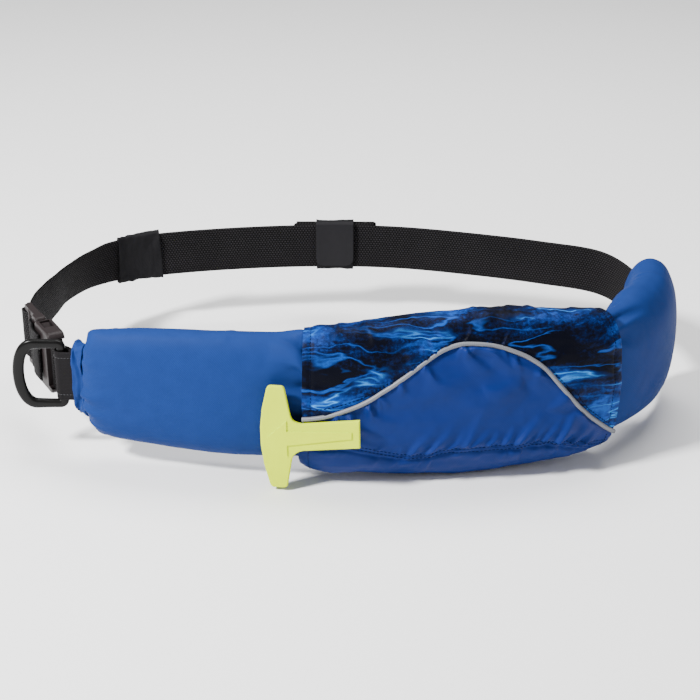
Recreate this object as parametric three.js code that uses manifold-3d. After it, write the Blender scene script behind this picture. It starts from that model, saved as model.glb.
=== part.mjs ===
// Inflatable belt pack, worn round the waist: a padded blue sleeve with a covered inflation pouch in
// front, a black webbing belt with keepers and spare webbing behind, and a buckle and D-ring at the left.
// Millimetres, +Z up. The origin is the middle of the waist, the pouch faces -Y and the wearer is inside.

import * as THREE from "three";
import { mergeVertices } from "three/addons/utils/BufferGeometryUtils.js";
import Module from "manifold-3d";

const wasm = await Module();
wasm.setup();

// Driving dimensions: the waist ring
const ringHalfWidth = 245;
const ringHalfDepth = 145;
const stationPitch = 12.5;

// Webbing
const webbingWidth = 38;
const webbingThickness = 1.8;
const clearance = 0.3;

// Padded sleeve
const leftSleeveLength = 157;
const rightSleeveLength = 126;
const sleeveHeight = 95;
const sleeveThickness = 36;
const sleeveRoundness = 2.4;

// Gathered cuff at the sleeve's left end
const cuffLength = 10.5;
const cuffHeight = 56;
const cuffThickness = 16;

// Pouch cover and what is packed in it
const coverLength = 214;
const coverMiddle = -10;
const coverHeight = 123;
const coverThickness = 50;
const coverOffset = 4;
const coverWall = 1.8;
const coverRoundness = 2.5;
const padDepth = 19;
const padRunIn = 26;
const hemLip = 34;
const facetRoom = 0.4;
const pipingRadius = 1.65;

// Pull handle
const handleHeadHeight = 79;
const handleHeadWidth = 22;
const handleLength = 70;
const handleStemHeight = 22;
const handleThickness = 3;
const handleBevel = 0.8;
const handleDrop = 20.5;
const handleTilt = 1;
const handleStemSlope = 0.12;
const handleReliefHeight = 0.8;
const handleOverhang = 27.5;
const handleSeat = 0.05;

// D-ring and its webbing loop
const ringHeight = 53.6;
const ringDepth = 38.4;
const ringBar = 6.4;
const ringCornerShare = 0.34;
const loopDistance = 10;
const loopTail = 9;

// Side-release buckle
const buckleLength = 64;
const buckleWidth = 48;
const buckleThickness = 13;
const buckleWall = 2;
const buckleDistance = 15.3;
const endBarRadius = 3;
const midBarRadius = 2.3;
const femaleBarRadius = 2.2;
const midBarSpacing = 10.5;
const endBarDrop = 1;
const midBarLift = 1.4;
const railWidth = 4;
const railThickness = 5.2;
const shoulderThickness = 8;
const prongThickness = 5.4;
const mouthRadius = 8;
const tailLength = 24;
const tuckLength = 9;
const joinRoom = 10;

// Keepers and spare webbing
const leftKeeperDistance = 178;
const leftKeeperLength = 37;
const leftKeeperDepth = 5;
const centreKeeperDistance = 166;
const centreKeeperLength = 31;
const spareLength = 64;
const spareLayers = 3;
const spareGap = 1.3;
const keeperWall = 1.6;

// The belt line seen from above, as shares of the half width and half depth, from the middle of the
// cover to the wearer's left and round the back. rise is a share of the webbing width, tilt in degrees
// is how far the webbing's top edge flares out.
const ringRows = [
  { x: 0.345, y: -0.873, rise: 0, tilt: 0 },
  { x: 0.463, y: -0.839, rise: 0, tilt: 0 },
  { x: 0.64, y: -0.79, rise: 0, tilt: 0 },
  { x: 0.745, y: -0.7, rise: 0, tilt: 0 },
  { x: 0.872, y: -0.45, rise: 0, tilt: 0 },
  { x: 0.935, y: -0.2, rise: 0, tilt: 0 },
  { x: 0.948, y: 0.03, rise: 0, tilt: 0 },
  { x: 0.92, y: 0.3, rise: 0.03, tilt: 0 },
  { x: 0.835, y: 0.555, rise: 0.08, tilt: 0 },
  { x: 0.644, y: 0.713, rise: 0.08, tilt: 0 },
  { x: 0.395, y: 0.853, rise: 0.08, tilt: 0 },
  { x: 0.173, y: 0.945, rise: 0.08, tilt: 0 },
  { x: -0.02, y: 0.975, rise: 0.08, tilt: 0 },
  { x: -0.226, y: 0.965, rise: 0.08, tilt: 0 },
  { x: -0.45, y: 0.93, rise: 0.06, tilt: 0 },
  { x: -0.638, y: 0.88, rise: 0.03, tilt: 0 },
  { x: -0.741, y: 0.84, rise: 0, tilt: -2 },
  { x: -0.82, y: 0.768, rise: 0, tilt: -8 },
  { x: -0.88, y: 0.65, rise: 0, tilt: -14 },
  { x: -0.928, y: 0.489, rise: 0, tilt: -14 },
  { x: -0.957, y: 0.303, rise: 0, tilt: -8 },
  { x: -0.977, y: 0.15, rise: 0, tilt: -3 },
  { x: -0.99, y: 0.01, rise: 0, tilt: 0 },
  { x: -0.993, y: -0.12, rise: 0, tilt: 0 },
  { x: -0.987, y: -0.23, rise: 0, tilt: 0 },
  { x: -0.955, y: -0.36, rise: 0, tilt: 0 },
  { x: -0.908, y: -0.488, rise: 0, tilt: 0 },
  { x: -0.87, y: -0.585, rise: 0, tilt: 0 },
  { x: -0.827, y: -0.668, rise: 0, tilt: 0 },
  { x: -0.776, y: -0.74, rise: 0, tilt: 0 },
  { x: -0.712, y: -0.795, rise: 0, tilt: 0 },
  { x: -0.578, y: -0.845, rise: 0, tilt: 0 },
  { x: -0.316, y: -0.917, rise: 0, tilt: 0 },
  { x: -0.1, y: -0.955, rise: 0, tilt: 0 },
  { x: 0.072, y: -0.925, rise: 0, tilt: 0 },
  { x: 0.2, y: -0.9, rise: 0, tilt: 0 },
];

// Sleeve sections left of the cover: at is the share of the left sleeve from cover to cuff, the others
// are shares of the sleeve's half height above and below the belt line and of its thickness.
const leftSleeveRows = [
  { at: 0, top: 1.03, bottom: 0.98, thick: 0.85 },
  { at: 0.12, top: 1.01, bottom: 0.99, thick: 0.95 },
  { at: 0.28, top: 0.985, bottom: 1, thick: 1.03 },
  { at: 0.48, top: 0.965, bottom: 0.98, thick: 1.02 },
  { at: 0.69, top: 0.93, bottom: 0.95, thick: 0.98 },
  { at: 0.82, top: 0.88, bottom: 0.92, thick: 0.92 },
  { at: 0.9, top: 0.84, bottom: 0.89, thick: 0.84 },
  { at: 0.95, top: 0.77, bottom: 0.83, thick: 0.74 },
  { at: 0.985, top: 0.67, bottom: 0.73, thick: 0.6 },
  { at: 1, top: 0.57, bottom: 0.61, thick: 0.5 },
];

const rightSleeveRows = [
  { at: 0, top: 0.97, bottom: 0.97, thick: 0.9 },
  { at: 0.175, top: 0.98, bottom: 0.98, thick: 0.97 },
  { at: 0.42, top: 1, bottom: 1, thick: 1 },
  { at: 0.67, top: 1, bottom: 1.01, thick: 1 },
  { at: 0.876, top: 0.99, bottom: 1, thick: 0.96 },
  { at: 0.959, top: 0.95, bottom: 0.95, thick: 0.82 },
  { at: 1, top: 0.86, bottom: 0.84, thick: 0.6 },
];

// Cover sections: at is the share of the cover's length from its middle, then shares of its half height
// and thickness.
const coverRows = [
  { at: -0.5, top: 0.84, bottom: 0.855, thick: 0.88, out: 0.45 },
  { at: -0.41, top: 0.88, bottom: 0.9, thick: 0.9, out: 0.8 },
  { at: -0.32, top: 0.897, bottom: 0.908, thick: 0.945, out: 1 },
  { at: -0.235, top: 0.931, bottom: 0.933, thick: 0.975, out: 1 },
  { at: -0.147, top: 0.969, bottom: 0.961, thick: 0.996, out: 1 },
  { at: -0.06, top: 0.994, bottom: 0.984, thick: 1, out: 1 },
  { at: 0.034, top: 1, bottom: 0.992, thick: 1, out: 1 },
  { at: 0.126, top: 0.995, bottom: 0.976, thick: 0.997, out: 1 },
  { at: 0.218, top: 0.979, bottom: 0.948, thick: 0.985, out: 1 },
  { at: 0.31, top: 0.953, bottom: 0.912, thick: 0.963, out: 1 },
  { at: 0.41, top: 0.912, bottom: 0.878, thick: 0.921, out: 0.8 },
  { at: 0.5, top: 0.845, bottom: 0.84, thick: 0.88, out: 0.45 },
];

// The piping's arch over the cover's front: at as above, height as a share of the local half height.
const archRows = [
  { at: -0.5, height: -0.129 },
  { at: -0.43, height: -0.056 },
  { at: -0.37, height: 0.036 },
  { at: -0.31, height: 0.146 },
  { at: -0.25, height: 0.278 },
  { at: -0.19, height: 0.42 },
  { at: -0.13, height: 0.562 },
  { at: -0.07, height: 0.68 },
  { at: -0.01, height: 0.739 },
  { at: 0.05, height: 0.731 },
  { at: 0.11, height: 0.692 },
  { at: 0.17, height: 0.616 },
  { at: 0.22, height: 0.54 },
  { at: 0.27, height: 0.413 },
  { at: 0.31, height: 0.231 },
  { at: 0.35, height: 0.02 },
  { at: 0.39, height: -0.218 },
  { at: 0.43, height: -0.4 },
  { at: 0.47, height: -0.586 },
  { at: 0.5, height: -0.711 },
];

// Cuff sections: shares of its length, height and thickness, with a rolled lip at its free end.
const cuffRows = [
  { at: 0, high: 1, thick: 1 },
  { at: 0.3, high: 0.93, thick: 0.9 },
  { at: 0.6, high: 0.95, thick: 0.92 },
  { at: 0.82, high: 1.03, thick: 1.04 },
  { at: 0.95, high: 1, thick: 0.98 },
  { at: 1, high: 0.95, thick: 0.9 },
];

// The webbing's way round the male half's bars. by is a share of the bars' spacing, level runs from 0
// under the middle bar to 1 over the end bar, slope is in degrees.
const weaveRows = [
  { by: -0.476, level: 0.943, slope: 0 },
  { by: 0, level: 1, slope: 0 },
  { by: 0.286, level: 0.811, slope: -25 },
  { by: 0.524, level: 0.547, slope: -30 },
  { by: 0.762, level: 0.179, slope: -22 },
  { by: 1, level: 0, slope: 0 },
  { by: 1.238, level: 0.179, slope: 25 },
];

// Its way out over the shoulder. by is a share of the buckle's length, level runs from 0 under the middle
// bar to 1 on the shoulder.
const tailRows = [
  { by: 0.234, level: 0.384, slope: 45 },
  { by: 0.266, level: 0.781, slope: 45 },
  { by: 0.3, level: 1.02, slope: 20 },
  { by: 0.36, level: 1.027, slope: 0 },
  { by: 0.484, level: 1.383, slope: 8 },
];

// Places along the buckle, as shares of its length from the end bar
const buckleMarks = {
  shoulderStart: 0.29,
  shoulderEnd: 0.478,
  prongStart: 0.4375,
  mouth: 0.5,
  windowStart: 0.578,
  barbStart: 0.594,
  barbEnd: 0.633,
  tongueEnd: 0.703,
  prongEnd: 0.75,
  windowEnd: 0.766,
  cavityEnd: 0.789,
};

// Curves through a table's rows
function readRows(rows, column, at) {
  const first = rows[0];
  const last = rows[rows.length - 1];
  if (at <= first.at) return first[column];
  if (at >= last.at) return last[column];
  const i = rows.findIndex((row) => row.at > at) - 1;
  const a = rows[i];
  const b = rows[i + 1];
  const slopeOf = (k) => {
    const before = rows[Math.max(k - 1, 0)];
    const after = rows[Math.min(k + 1, rows.length - 1)];
    return (after[column] - before[column]) / (after.at - before.at);
  };
  const span = b.at - a.at;
  const t = (at - a.at) / span;
  const rest = 1 - t;
  return (
    a[column] * (1 + 2 * t) * rest * rest +
    slopeOf(i) * span * t * rest * rest +
    b[column] * t * t * (3 - 2 * t) -
    slopeOf(i + 1) * span * t * t * rest
  );
}

// The belt line, measured in millimetres along it from the middle of the cover
const ringCurve = new THREE.CatmullRomCurve3(
  ringRows.map(
    (row) => new THREE.Vector3(row.x * ringHalfWidth, row.y * ringHalfDepth, row.rise * webbingWidth)
  ),
  true,
  "centripetal"
);
ringCurve.arcLengthDivisions = 3000;
const ringLength = ringCurve.getLength();

function ringFrame(s) {
  const u = (((s / ringLength) % 1) + 1) % 1;
  const t = ringCurve.getUtoTmapping(u);
  const at = ringCurve.getPoint(t);
  const along = ringCurve.getTangent(t);
  const level = new THREE.Vector3(along.y, -along.x, 0).normalize();
  const upright = new THREE.Vector3().crossVectors(level, along).normalize();
  const row = t * ringRows.length;
  const i = Math.floor(row) % ringRows.length;
  const j = (i + 1) % ringRows.length;
  const share = THREE.MathUtils.smoothstep(row - Math.floor(row), 0, 1);
  const tilt = THREE.MathUtils.degToRad(THREE.MathUtils.lerp(ringRows[i].tilt, ringRows[j].tilt, share));
  const up = upright.clone().multiplyScalar(Math.cos(tilt)).addScaledVector(level, Math.sin(tilt));
  const out = level.clone().multiplyScalar(Math.cos(tilt)).addScaledVector(upright, -Math.sin(tilt));
  return { at, along, up, out };
}

function frameMatrix(frame) {
  return new THREE.Matrix4().makeBasis(frame.along, frame.up, frame.out).setPosition(frame.at);
}

function framePoint(frame, up, out) {
  return frame.at.clone().addScaledVector(frame.up, up).addScaledVector(frame.out, out);
}

// Where things are along the belt line. Stations run from the pouch to the wearer's left.
const coverLeft = coverMiddle - coverLength / 2;
const coverRight = coverMiddle + coverLength / 2;
const sleeveLeft = coverLeft - leftSleeveLength;
const sleeveRight = coverRight + rightSleeveLength;
const cuffRight = sleeveLeft - clearance;
const cuffLeft = cuffRight - cuffLength;
const ringBarAt = cuffLeft - loopDistance;
const buckleFront = ringBarAt - buckleDistance;
const buckleBack = buckleFront - buckleLength;
const leftKeeperAt = ringLength + buckleBack - leftKeeperDistance;
const centreKeeperAt = leftKeeperAt - centreKeeperDistance;
const cellLeft = coverLeft + padRunIn;
const cellRight = coverRight - padRunIn;
const beltJoin = buckleBack - joinRoom;
const hemRun = padRunIn / 5.5;

const keyStations = [
  coverLeft,
  coverRight,
  sleeveLeft,
  sleeveRight,
  cuffRight,
  cuffLeft,
  cellLeft,
  cellRight,
  coverLeft + hemRun,
  coverRight - hemRun,
];

const keeperEnds = [
  leftKeeperAt - leftKeeperLength / 2,
  leftKeeperAt + leftKeeperLength / 2,
  centreKeeperAt - centreKeeperLength / 2,
  centreKeeperAt + centreKeeperLength / 2,
];

function stationsBetween(from, to) {
  const found = [from, to];
  for (let k = Math.ceil(from / stationPitch); k * stationPitch < to; k += 1) found.push(k * stationPitch);
  [...keyStations, ...keeperEnds].forEach((s) => {
    if (s > from && s < to) found.push(s);
  });
  found.sort((a, b) => a - b);
  return found.filter((s, k) => k === 0 || s - found[k - 1] > 0.05);
}

// Closed bodies lofted through loops of points with the same count; holes run the whole way through
function loftBody(loops, holeLoops = []) {
  const positions = [];
  const indices = [];
  const addSide = (set, flip) => {
    const base = positions.length / 3;
    const count = set[0].length;
    set.forEach((loop) => loop.forEach((p) => positions.push(p.x, p.y, p.z)));
    for (let i = 0; i < set.length - 1; i += 1) {
      for (let j = 0; j < count; j += 1) {
        const a = base + i * count + j;
        const b = base + i * count + ((j + 1) % count);
        const c = a + count;
        const d = b + count;
        if (flip) indices.push(a, c, b, b, c, d);
        else indices.push(a, b, c, b, d, c);
      }
    }
    return base;
  };
  const outerBase = addSide(loops, false);
  const holeBase = holeLoops.length ? addSide(holeLoops, true) : 0;
  const addCap = (row, flip) => {
    const ring = loops[row];
    const hole = holeLoops.length ? holeLoops[row] : [];
    const middle = ring.reduce((sum, p) => sum.add(p), new THREE.Vector3()).divideScalar(ring.length);
    const normal = new THREE.Vector3();
    ring.forEach((p, k) => {
      const q = ring[(k + 1) % ring.length];
      normal.add(new THREE.Vector3().crossVectors(p.clone().sub(middle), q.clone().sub(middle)));
    });
    normal.normalize();
    const side = ring[0].clone().sub(middle);
    side.addScaledVector(normal, -side.dot(normal)).normalize();
    const other = new THREE.Vector3().crossVectors(normal, side);
    const flat = (p) => {
      const q = p.clone().sub(middle);
      return new THREE.Vector2(q.dot(side), q.dot(other));
    };
    const faces = THREE.ShapeUtils.triangulateShape(ring.map(flat), hole.length ? [hole.map(flat)] : []);
    const nameOf = (k) =>
      k < ring.length ? outerBase + row * ring.length + k : holeBase + row * hole.length + (k - ring.length);
    faces.forEach(([a, b, c]) => {
      if (flip) indices.push(nameOf(a), nameOf(c), nameOf(b));
      else indices.push(nameOf(a), nameOf(b), nameOf(c));
    });
  };
  addCap(0, true);
  addCap(loops.length - 1, false);
  const geometry = new THREE.BufferGeometry();
  geometry.setAttribute("position", new THREE.Float32BufferAttribute(positions, 3));
  geometry.setIndex(indices);
  return facingOut(geometry);
}

function signedVolume(geometry) {
  const p = geometry.getAttribute("position");
  const index = geometry.getIndex();
  const corner = (k) => new THREE.Vector3().fromBufferAttribute(p, index.getX(k));
  let volume = 0;
  for (let k = 0; k < index.count; k += 3) {
    volume += corner(k).dot(new THREE.Vector3().crossVectors(corner(k + 1), corner(k + 2))) / 6;
  }
  return volume;
}

function facingOut(geometry) {
  if (signedVolume(geometry) < 0) {
    const index = geometry.getIndex();
    for (let k = 0; k < index.count; k += 3) {
      const b = index.getX(k + 1);
      index.setX(k + 1, index.getX(k + 2));
      index.setX(k + 2, b);
    }
  }
  geometry.computeVertexNormals();
  return geometry;
}

// Cutting and joining
function toSolid(geometry) {
  const welded = mergeVertices(stripped(geometry), 1e-4);
  const vertProperties = Float32Array.from(welded.getAttribute("position").array);
  const triVerts = Uint32Array.from(welded.getIndex().array);
  return new wasm.Manifold(new wasm.Mesh({ numProp: 3, vertProperties, triVerts }));
}

function stripped(geometry) {
  const bare = geometry.clone();
  bare.deleteAttribute("normal");
  bare.deleteAttribute("uv");
  return bare;
}

function fromSolid(solid) {
  const mesh = solid.getMesh();
  const geometry = new THREE.BufferGeometry();
  geometry.setAttribute("position", new THREE.Float32BufferAttribute(mesh.vertProperties, 3));
  geometry.setIndex(Array.from(mesh.triVerts));
  geometry.computeVertexNormals();
  return geometry;
}

function joined(geometries) {
  return geometries.map(toSolid).reduce((a, b) => a.add(b));
}

// Shapes used by several pieces
function roundedSlab(outline, depth, bevel, middle = 0) {
  const slab = new THREE.ExtrudeGeometry(outline, {
    depth: depth - 2 * bevel,
    bevelEnabled: bevel > 0,
    bevelThickness: bevel,
    bevelSize: bevel,
    bevelOffset: -bevel,
    bevelSegments: 2,
    curveSegments: 5,
  });
  slab.translate(0, 0, middle - depth / 2 + bevel);
  return slab;
}

function boxBetween(low, high) {
  const box = new THREE.BoxGeometry(high[0] - low[0], high[1] - low[1], high[2] - low[2]);
  box.translate((low[0] + high[0]) / 2, (low[1] + high[1]) / 2, (low[2] + high[2]) / 2);
  return box;
}

function crossBar(radius, halfWidth, x, out, sides = 14) {
  const round = radius * 0.35;
  const profile = [
    new THREE.Vector2(0, -halfWidth),
    new THREE.Vector2(radius - round, -halfWidth),
    new THREE.Vector2(radius, -halfWidth + round),
    new THREE.Vector2(radius, halfWidth - round),
    new THREE.Vector2(radius - round, halfWidth),
    new THREE.Vector2(0, halfWidth),
  ];
  const bar = new THREE.LatheGeometry(profile, sides);
  bar.translate(x, 0, out);
  return bar;
}

function roundedOutline(width, height, corner) {
  const x = width / 2;
  const y = height / 2;
  const shape = new THREE.Shape();
  shape.moveTo(-x + corner, -y);
  shape.lineTo(x - corner, -y);
  shape.absarc(x - corner, -y + corner, corner, -Math.PI / 2, 0);
  shape.lineTo(x, y - corner);
  shape.absarc(x - corner, y - corner, corner, 0, Math.PI / 2);
  shape.lineTo(-x + corner, y);
  shape.absarc(-x + corner, y - corner, corner, Math.PI / 2, Math.PI);
  shape.lineTo(-x, -y + corner);
  shape.absarc(-x + corner, -y + corner, corner, Math.PI, Math.PI * 1.5);
  return shape;
}

// A flat strip: four corners at each frame
function ribbon(frames, width, thickness) {
  const w = width / 2;
  const t = thickness / 2;
  return loftBody(
    frames.map((frame) => [
      framePoint(frame, w, t),
      framePoint(frame, -w, t),
      framePoint(frame, -w, -t),
      framePoint(frame, w, -t),
    ])
  );
}

// Cushion section: a rounded closed curve, flatter than an ellipse
function cushionPoint(angle, top, bottom, halfThickness, roundness) {
  const c = Math.cos(angle);
  const s = Math.sin(angle);
  const power = 2 / roundness;
  return {
    up: (s > 0 ? top : bottom) * Math.sign(s) * Math.abs(s) ** power,
    out: halfThickness * Math.sign(c) * Math.abs(c) ** power,
  };
}

// The cover's envelope at a station, inset by a wall
function coverPoint(s, angle, inset) {
  const at = (s - coverMiddle) / coverLength;
  const top = (readRows(coverRows, "top", at) * coverHeight) / 2 - inset;
  const bottom = (readRows(coverRows, "bottom", at) * coverHeight) / 2 - inset;
  const thick = (readRows(coverRows, "thick", at) * coverThickness) / 2 - inset;
  const point = cushionPoint(angle, top, bottom, thick, coverRoundness);
  return { up: point.up, out: point.out + coverOffset * readRows(coverRows, "out", at) };
}

function archAngle(s) {
  const height = readRows(archRows, "height", (s - coverMiddle) / coverLength);
  return Math.sign(height) * Math.asin(Math.abs(height) ** (coverRoundness / 2));
}

// How far behind the belt line the webbing runs inside the cover
function beltInset(s) {
  const inside = Math.min(s - coverLeft, coverRight - s) / padRunIn;
  return -THREE.MathUtils.smoothstep(inside, 0, 1) * (padDepth / 2 + coverOffset / 2);
}

// What lies in the cover also stays clear of the flats of its faceted wall
const coverInside = coverWall + clearance + facetRoom;

// Padded sleeve: one tube from cuff to right end, flattened to a back pad behind the pouch
const sleevePoints = 28;
const padShare = 0.95;
const padFront = beltInset(0) + padDepth / 2 - coverOffset / 2;

function sleeveSection(s) {
  const inCover = s > coverLeft && s < coverRight;
  const left = s <= coverLeft;
  const at = left ? (coverLeft - s) / leftSleeveLength : (s - coverRight) / rightSleeveLength;
  const rows = left ? leftSleeveRows : rightSleeveRows;
  const share = Math.max(at, 0);
  const half = sleeveHeight / 2;
  const top = readRows(rows, "top", share) * half;
  const bottom = readRows(rows, "bottom", share) * half;
  const thick = (readRows(rows, "thick", share) * sleeveThickness) / 2;
  const inside = Math.min(s - coverLeft, coverRight - s) / padRunIn;
  const turn = inCover ? THREE.MathUtils.smoothstep(inside, 0, 1) : 0;
  const points = [];
  for (let k = 0; k < sleevePoints; k += 1) {
    const angle = (k / sleevePoints) * Math.PI * 2;
    const round = cushionPoint(angle, top, bottom, thick, sleeveRoundness);
    if (turn > 0) {
      const envelope = coverPoint(s, angle, coverInside);
      const flat = envelope.out > padFront;
      const pad = { up: flat ? envelope.up * padShare : envelope.up, out: flat ? padFront : envelope.out };
      points.push({
        up: THREE.MathUtils.lerp(round.up, pad.up, turn),
        out: THREE.MathUtils.lerp(round.out, pad.out, turn),
      });
    } else {
      points.push(round);
    }
  }
  return points;
}

function channelSection(out, thickness, height) {
  const t = thickness / 2;
  const h = height / 2;
  return [
    { up: h, out: out + t },
    { up: h, out: out - t },
    { up: -h, out: out - t },
    { up: -h, out: out + t },
  ];
}

function placed(s, section) {
  const frame = ringFrame(s);
  return section.map((point) => framePoint(frame, point.up, point.out));
}

const slotHeight = webbingWidth + 2 * clearance;
const slotThickness = webbingThickness + 2 * clearance;

function makeSleeve() {
  const stations = stationsBetween(sleeveLeft, sleeveRight);
  const outer = stations.map((s) => placed(s, sleeveSection(s)));
  const channel = stations.map((s) => placed(s, channelSection(beltInset(s), slotThickness, slotHeight)));
  return loftBody(outer, channel);
}

// Cuff: a short gathered tube round the belt and the D-ring's webbing
const loopLayers = 2 * webbingThickness;
const loopOut = webbingThickness / 2 + clearance + loopLayers / 2;
const cuffChannelLow = -webbingThickness / 2 - clearance;
const cuffChannelHigh = loopOut + loopLayers / 2 + clearance;

function makeCuff() {
  const middle = (cuffChannelLow + cuffChannelHigh) / 2;
  const outer = [];
  const channel = [];
  cuffRows.forEach((row) => {
    const s = cuffRight - row.at * cuffLength;
    const half = (row.high * cuffHeight) / 2;
    const thick = (row.thick * cuffThickness) / 2;
    const section = [];
    for (let k = 0; k < 20; k += 1) {
      const point = cushionPoint((k / 20) * Math.PI * 2, half, half, thick, sleeveRoundness);
      section.push({ up: point.up, out: point.out + middle });
    }
    outer.push(placed(s, section));
    channel.push(placed(s, channelSection(middle, cuffChannelHigh - cuffChannelLow, slotHeight)));
  });
  return loftBody(outer, channel);
}

// Cover panels: thin walls over part of the envelope, from one angle to another
const panelSteps = 11;
const pipingSeat = coverWall - pipingRadius;
const lipAngle = Math.PI / 2 + THREE.MathUtils.degToRad(hemLip);

function makePanel(lowAngle, highAngle, stations) {
  return loftBody(
    stations.map((s) => {
      const low = lowAngle(s);
      const high = highAngle(s);
      const section = [];
      for (let k = 0; k <= panelSteps; k += 1) {
        section.push(coverPoint(s, low + ((high - low) * k) / panelSteps, 0));
      }
      for (let k = panelSteps; k >= 0; k -= 1) {
        section.push(coverPoint(s, low + ((high - low) * k) / panelSteps, coverWall));
      }
      return placed(s, section);
    })
  );
}

// The panels stop short of the piping by its radius and a clearance, measured along the cover
function archEdge(s, side) {
  const middle = archAngle(s);
  const step = 0.02;
  const frameLow = coverPoint(s, middle - step, pipingSeat);
  const frameHigh = coverPoint(s, middle + step, pipingSeat);
  const rate = Math.hypot(frameHigh.up - frameLow.up, frameHigh.out - frameLow.out) / (2 * step);
  const before = archPoint(s - 1);
  const after = archPoint(s + 1);
  const run = before.distanceTo(after);
  const along = ringFrame(s - 1).at.distanceTo(ringFrame(s + 1).at);
  const slant = Math.max(run / along, 1);
  return middle + (side * (pipingRadius + 1.6 * clearance) * slant) / rate;
}

function archPoint(s) {
  const point = coverPoint(s, archAngle(s), pipingSeat);
  return framePoint(ringFrame(s), point.up, point.out);
}

const coverStations = stationsBetween(coverLeft, coverRight);

function makeYoke() {
  return makePanel((s) => archEdge(s, 1), () => lipAngle, coverStations);
}

function makePocket() {
  return makePanel(() => -lipAngle, (s) => archEdge(s, -1), coverStations);
}

// Piping: a round cord lofted through the same stations as the panels
const pipingSides = 8;

function makePiping() {
  const points = coverStations.map(archPoint);
  return loftBody(
    coverStations.map((s, i) => {
      const ahead = points[Math.min(i + 1, points.length - 1)];
      const behind = points[Math.max(i - 1, 0)];
      const run = ahead.clone().sub(behind).normalize();
      const frame = ringFrame(s);
      const across = new THREE.Vector3().crossVectors(frame.out, run).normalize();
      const proud = new THREE.Vector3().crossVectors(run, across).normalize();
      const loop = [];
      for (let k = 0; k < pipingSides; k += 1) {
        const angle = (k / pipingSides) * Math.PI * 2;
        loop.push(
          points[i]
            .clone()
            .addScaledVector(across, pipingRadius * Math.cos(angle))
            .addScaledVector(proud, pipingRadius * Math.sin(angle))
        );
      }
      return loop;
    })
  );
}

// The packed air cell fills the cover in front of the back pad
function makeCell() {
  const stations = stationsBetween(cellLeft, cellRight);
  const back = padFront + clearance;
  const count = 20;
  return loftBody(
    stations.map((s) => {
      const section = [];
      const inset = coverInside;
      for (let k = 0; k < count; k += 1) {
        const angle = ((k + 0.5) / count) * Math.PI - Math.PI / 2;
        const point = coverPoint(s, angle, inset);
        section.push({ up: point.up, out: point.out });
      }
      const low = coverPoint(s, -Math.PI / 2, inset);
      const high = coverPoint(s, Math.PI / 2, inset);
      section.push({ up: high.up * padShare, out: back });
      section.push({ up: low.up * padShare, out: back });
      return placed(s, section);
    })
  );
}

// Pull handle: a flat T that lies over the cover's left edge, with a raised arrow. Its stem slants up.
function risen(x, y) {
  return [x, y + handleStemSlope * Math.max(0, x - handleHeadWidth)];
}

function handleOutline() {
  const head = handleHeadHeight / 2;
  const stem = handleStemHeight / 2;
  const width = handleHeadWidth;
  const shape = new THREE.Shape();
  shape.moveTo(...risen(handleLength, -stem * 0.97));
  shape.lineTo(...risen(handleLength, stem * 0.97));
  shape.lineTo(...risen(width * 1.35, stem * 0.95));
  shape.quadraticCurveTo(width * 1.02, stem * 1.05, width * 0.98, stem * 1.7);
  shape.lineTo(width * 0.84, head * 0.92);
  shape.quadraticCurveTo(width * 0.82, head, width * 0.7, head);
  shape.lineTo(width * 0.4, head);
  shape.quadraticCurveTo(width * 0.27, head, width * 0.24, head * 0.9);
  shape.quadraticCurveTo(-width * 0.24, 0, width * 0.24, -head * 0.9);
  shape.quadraticCurveTo(width * 0.27, -head, width * 0.4, -head);
  shape.lineTo(width * 0.7, -head);
  shape.quadraticCurveTo(width * 0.82, -head, width * 0.84, -head * 0.92);
  shape.lineTo(width * 0.98, -stem * 1.7);
  shape.quadraticCurveTo(width * 1.02, -stem * 1.05, ...risen(width * 1.35, -stem * 0.95));
  shape.lineTo(...risen(handleLength, -stem * 0.97));
  return shape;
}

function arrowOutline() {
  const tip = handleHeadWidth * 0.24;
  const barb = handleHeadWidth * 0.86;
  const wide = handleStemHeight * 0.62;
  const shape = new THREE.Shape();
  shape.moveTo(tip, 0);
  shape.lineTo(barb, -wide);
  shape.lineTo(barb, -wide * 0.4);
  shape.lineTo(...risen(handleLength * 0.92, -wide * 0.18));
  shape.lineTo(...risen(handleLength * 0.92, wide * 0.18));
  shape.lineTo(barb, wide * 0.4);
  shape.lineTo(barb, wide);
  return shape;
}

const handleStart = coverLeft - handleOverhang;

function makeHandle() {
  const plate = roundedSlab(handleOutline(), handleThickness, handleBevel, handleThickness / 2);
  const depth = 2 * handleReliefHeight;
  const arrow = new THREE.ExtrudeGeometry(arrowOutline(), { depth, bevelEnabled: false });
  arrow.translate(0, 0, handleThickness - handleReliefHeight);
  return fromSolid(joined([plate, arrow]));
}

// The handle's plane touches the sleeve at its head and the cover at its stem
function handleMatrix() {
  const headAt = handleStart + handleHeadWidth / 2;
  const stemAt = handleStart + handleLength * 0.92;
  const surface = (s) => framePoint(ringFrame(s), 0, outermost(s)).setZ(0);
  const a = surface(headAt);
  const b = surface(stemAt);
  const along = b.clone().sub(a).normalize();
  const out = new THREE.Vector3(along.y, -along.x, 0);
  let push = 0;
  for (let s = handleStart - 4; s <= handleStart + handleLength + 4; s += 2) {
    const proud = surface(s).sub(a);
    const reach = proud.dot(along);
    if (reach > -handleHeadWidth / 2 && reach < handleLength) push = Math.max(push, proud.dot(out));
  }
  const origin = a
    .clone()
    .addScaledVector(along, -handleHeadWidth / 2)
    .addScaledVector(out, push + handleSeat)
    .setZ(-handleDrop);
  const up = new THREE.Vector3(0, 0, 1);
  const turned = new THREE.Matrix4().makeRotationZ(THREE.MathUtils.degToRad(handleTilt));
  return new THREE.Matrix4().makeBasis(along, up, out).setPosition(origin).multiply(turned);
}

function outermost(s) {
  if (s < coverLeft) return Math.max(...sleeveSection(s).map((point) => point.out));
  return coverPoint(s, 0, 0).out;
}

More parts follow.
